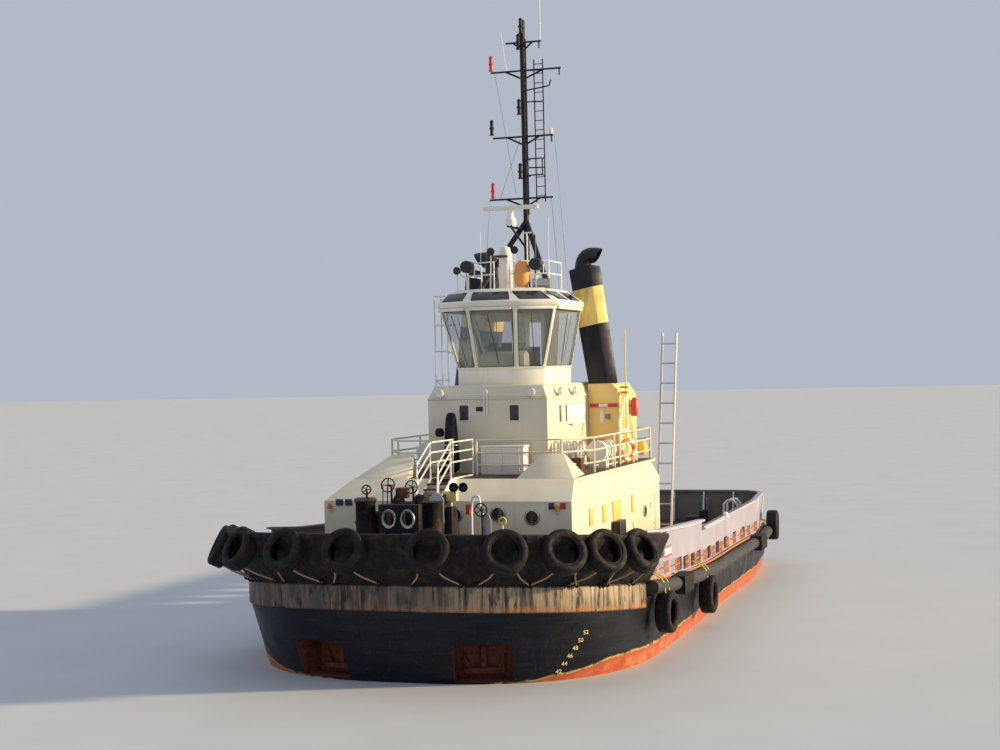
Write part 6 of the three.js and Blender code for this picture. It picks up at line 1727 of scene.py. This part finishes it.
def make_roof_gear():
    """Rails, lamps, aerials, blinds and wipers of the wheelhouse."""
    runs = []
    for _, side in SIDES:
        line = [(4.3, side * 0.25), (3.7, side * 1.31), (2.35, side * 1.31)]
        bars, posts = railing(line, ROOF, 0.85, (0.55, 1), 1.3)
        runs += bars + [[a, (b[0], b[1], ROOF + 0.86)] for a, b in posts]
    set_in(rods("roof_rails", runs, 0.022), WHITE, "white_paint")
    for name, side in SIDES:
        y = side * 1.1
        fork = ((y - 0.222, 11.05), (y - 0.222, ROOF + 0.425), (y + 0.222, ROOF + 0.425), (y + 0.222, 11.05))
        runs = [[(4.3, y, ROOF - 0.02), (4.3, y, ROOF + 0.42)], [(4.3, across, z) for across, z in fork]]
        stand = rods("stand", runs, 0.018, 8, 0.08)
        stem = rods("stem", [[(4.3, y, ROOF - 0.02), (4.3, y, ROOF + 0.41)]], 0.045, 12)
        set_in(joined("lamp_stand_" + name, [stand, stem]), WHITE, "white_paint")
    band = turned(
        "dome_band", [(0.212, 0), (0.222, 0), (0.222, 0.05), (0.212, 0.05)], DOME_MIDDLE, (0, 0, 1), 32,
    )
    set_in(band, BLACK, "black_paint")
    profile = [
        (0, 0), (0.16, 0), (0.18, 0.05), (0.24, 0.18), (0.26, 0.42), (0.20, 0.66), (0.10, 0.78), (0, 0.80),
    ]
    can = turned("orange_beacon", profile, (4.35, 0.66, 10.38), (0, 0, 1), 24)
    set_in(can, BEACON_ORANGE, "white_plastic")
    profile = [(0, -0.1), (0.08, -0.08), (0.12, 0), (0.12, 0.06), (0.10, 0.07), (0, 0.06)]
    small = [turned("lamp", profile, point, way, 20) for point, way in ROOF_LAMPS]
    set_in(joined("roof_lamps", small), BLACK, "black_paint")
    thin = [
        [(4.25, -1.45, 10.34), (4.25, -1.45, 10.88)], [(4.4, -0.34, 10.34), (4.4, -0.30, 11.42)],
        [(4.4, 0.45, 10.34), (4.4, 0.45, 11.44)], [(4.1, 0.76, 10.33), (4.1, 0.76, 12.03)],
        [(4.1, 0.62, 12.03), (4.1, 0.90, 12.03)],
    ]
    set_in(rods("roof_posts", thin, 0.022), WHITE, "white_paint")
    set_in(rods("black_post", [[(3.9, 0.95, 10.33), (3.9, 0.95, 11.98)]], 0.03), BLACK, "black_paint")
    whips = [[(4.2, -0.70, ROOF), (4.2, -0.70, 12.10)], [(2.6, 1.0, ROOF), (2.6, 1.0, 12.6)]]
    set_in(rods("roof_whips", whips, 0.01, 6), WHITE, "white_plastic")
    flood = boxes("roof_floodlight", [((4.05, 0.97, 10.325), (4.33, 1.52, 10.62))], 0.02)
    set_in(flood, GREY, "white_plastic")
    face = boxes("roof_floodlight_glass", [((4.331, 1.0, 10.41), (4.336, 1.49, 10.59))], 0.001)
    set_in(face, BRIGHT, "window_glass")
    ring_low = octagon(SILL_PLAN, 0, SILL)
    ring_high = octagon(EAVES_PLAN, 0, EAVES)
    rollers = []
    wipers = []
    for i, j in glazed_walls():
        a, b = ring_high[i], ring_high[j]
        along = (b - a).normalized()
        width = (b - a).length
        out = Vector((-along.y, along.x, 0))
        out = out if out.dot(Vector((a.x - WHEELHOUSE_MIDDLE, a.y, 0))) > 0 else -out
        low_mid = ring_low[i].lerp(ring_low[j], 0.5)
        high_mid = a.lerp(b, 0.5)
        box = boxes("roller", [((-0.04, -width / 2 + 0.12, -0.05), (0.04, width / 2 - 0.12, 0.05))], 0.02)
        box.data.transform(facing(high_mid - Vector((0, 0, 0.06)) + out * 0.035, out))
        rollers.append(box)
        if width > 1.0:
            foot = low_mid.lerp(high_mid, 0.10) + out * 0.03 + along * 0.1
            head = low_mid.lerp(high_mid, 0.88) + out * 0.03 - along * 0.12
            wipers.append([foot, head])
    set_in(joined("roller_boxes", rollers), ROOF_CREAM, "cream_paint")
    set_in(rods("window_wipers", wipers, 0.012, 6), BLACK, "black_paint")
    overhead = [((4.1, -0.5, 9.35), (4.5, 0.5, 9.62)), ((2.6, -0.8, 9.45), (3.0, 0.8, 9.64))]
    set_in(boxes("overhead_gear", overhead, 0.03), CONSOLE, "console_grey")
    foot = BRIDGE_DECK + 1.0
    screens = [((3.95, y - 0.17, foot), (4.0, y + 0.17, BRIDGE_DECK + 1.28)) for y in (-0.45, 0.0, 0.45)]
    set_in(boxes("console_screens", screens, 0.01), BLACK, "console_grey")


# Fittings of the mast

# x ahead of the mast, y, height and colour of each lantern
LANTERNS = (
    (0.0, -1.07, 17.45, "red"), (0.0, -1.09, 15.40, "black"), (0.0, -1.09, 13.38, "red"),
    (0.16, -0.096, 18.05, "black"), (0.16, -0.108, 15.98, "black"), (0.16, -0.114, 13.94, "black"),
    (0.16, 0.0, 18.55, "black"),
)
LANTERN_PROFILE = [
    (0, 0), (0.075, 0), (0.075, 0.03), (0.055, 0.05), (0.055, 0.19), (0.08, 0.21), (0.08, 0.25),
    (0.055, 0.27), (0.055, 0.42), (0.07, 0.44), (0.03, 0.50), (0, 0.50),
]
# x from the mast, y and height of the platform's cage
CAGE = {"x": (-0.05, 0.25), "y": (0.15, 0.65), "z": (14.03, 14.55)}


def make_mast_fittings():
    """Lamps, platform, stays and aerials of the mast."""
    lamps = {"red": [], "black": []}
    for x, y, z, colour in LANTERNS:
        lamps[colour].append(turned("lantern", LANTERN_PROFILE, (MAST_X + x, y, z), (0, 0, 1), 16))
    set_in(joined("mast_lamps_red", lamps["red"]), RED, "white_plastic")
    set_in(joined("mast_lamps_black", lamps["black"]), MAST, "black_paint")
    arms = [[(MAST_X, 0, z + 0.02), (MAST_X + 0.17, -0.1, z + 0.02)] for z in (18.05, 15.98, 13.94)]
    arms += [[(MAST_X, 0, 16.75), (MAST_X, 0.85, 16.86), (MAST_X, 0.92, 17.05)]]
    arms += [[(MAST_X, y, z), (MAST_X, y, z - 0.22)] for y, z in ((0.55, 18.3), (1.2, 17.4), (0.9, 15.3))]
    set_in(rods("mast_arms", arms, 0.025, 8), MAST, "black_paint")
    profile = [(0, 0), (0.06, 0), (0.065, 0.12), (0.03, 0.18), (0, 0.18)]
    white = turned("mast_white_lamp", profile, (MAST_X, 0.89, 15.34), (0, 0, 1), 16)
    set_in(white, WHITE, "white_plastic")
    back, front = (MAST_X + x for x in CAGE["x"])
    near, far = CAGE["y"]
    low, high = CAGE["z"]
    platform = [[(back, near, z), (front, near, z), (front, far, z), (back, far, z)] for z in CAGE["z"]]
    platform += [[(front, y, low), (front, y, high)] for y in CAGE["y"]]
    set_in(rods("mast_platform", platform, 0.022, 8), MAST, "black_paint")
    cable = rods("mast_cable", [[(MAST_X + 0.02, 0.11, 12.8), (MAST_X + 0.02, 0.11, 18.4)]], 0.016, 6)
    set_in(cable, GREY_RUBBER, "black_paint")
    stay_foot = ROOF - 0.35
    stays = [
        [(MAST_X, -0.95, 17.4), (MAST_X, -0.32, 13.5)], [(MAST_X, -0.15, 15.2), (MAST_X, -0.87, 13.33)],
        [(MAST_X, -1.2, 13.33), (MAST_X + 0.6, -1.3, stay_foot)],
        [(MAST_X, 0.85, 13.33), (MAST_X + 0.6, 1.25, stay_foot)],
        [(MAST_X, 1.0, 15.3), (MAST_X + 0.3, 1.45, stay_foot)],
    ]
    set_in(rods("mast_stays", stays, 0.008, 6), GREY, "black_paint")
    set_in(
        rods("mast_whip_small", [[(MAST_X, -0.55, 17.4), (MAST_X, -0.72, 18.7)]], 0.012, 6), WHITE,
        "white_plastic",
    )


# Light, floor and camera

SKY = (0.72, 0.79, 0.92, 1)
SUNLIGHT = (1.0, 0.79, 0.47)


def make_stage():
    """A pale floor at the waterline, a soft sky and a low warm sun on the port bow."""
    bpy.ops.object.select_all(action="DESELECT")
    bpy.ops.mesh.primitive_plane_add(size=900)
    floor = bpy.context.object
    floor.name = "floor"
    paint = Finish("floor_pale", (0.62, 0.64, 0.67), 0.75)
    paint.over((0.58, 0.60, 0.63), paint.cloud(3.0, 0.3, 0.7))
    floor.data.materials.append(paint.material)
    world = bpy.data.worlds.new("studio")
    bpy.context.scene.world = world
    world.use_nodes = True
    world.node_tree.nodes["Background"].inputs[0].default_value = SKY
    world.node_tree.nodes["Background"].inputs[1].default_value = 0.62
    bpy.ops.object.light_add(type="SUN")
    sun = bpy.context.object
    sun.name = "low_sun"
    sun.data.energy = 5.4
    sun.data.angle = math.radians(3)
    sun.data.color = SUNLIGHT
    sun.rotation_euler = Vector((-0.28, 1.0, 0.26)).to_track_quat("Z", "Y").to_euler()


def make_camera():
    """Where the photograph was taken from: ahead, a little to port and level with the boat deck."""
    bpy.ops.object.camera_add(location=(53.476, 16.010, 7.94))
    camera = bpy.context.object
    heading = math.radians(18.17)
    down = math.atan(7 / 1700)
    roll = math.radians(1.29)
    ahead = Vector(
        (-math.cos(heading) * math.cos(down), -math.sin(heading) * math.cos(down), -math.sin(down)),
    )
    right = Vector((-math.sin(heading), math.cos(heading), 0))
    above = right.cross(ahead)
    x = right * math.cos(roll) - above * math.sin(roll)
    y = right * math.sin(roll) + above * math.cos(roll)
    camera.rotation_euler = Matrix((x, y, -ahead)).transposed().to_euler()
    camera.data.sensor_width = 36
    camera.data.lens = 61.2
    camera.data.clip_end = 2000
    bpy.context.scene.camera = camera
    bpy.context.scene.view_settings.view_transform = "Standard"


make_camera()
make_stage()
make_hull()
make_draught_marks()
make_belt()
make_bow_fender()
make_strops()
make_side_fenders()
make_bulwarks()
make_houses()
make_boat_deck()
make_stairs()
make_wheelhouse_roof()
make_gaskets()
make_interior()
make_funnels()
make_mast()
make_plain_nodes()
make_house_fittings()
make_upper_fittings()
make_casing_fittings()
make_boat_deck_gear()
make_foredeck_gear()
make_bulwark_fittings()
make_roof_gear()
make_mast_fittings()
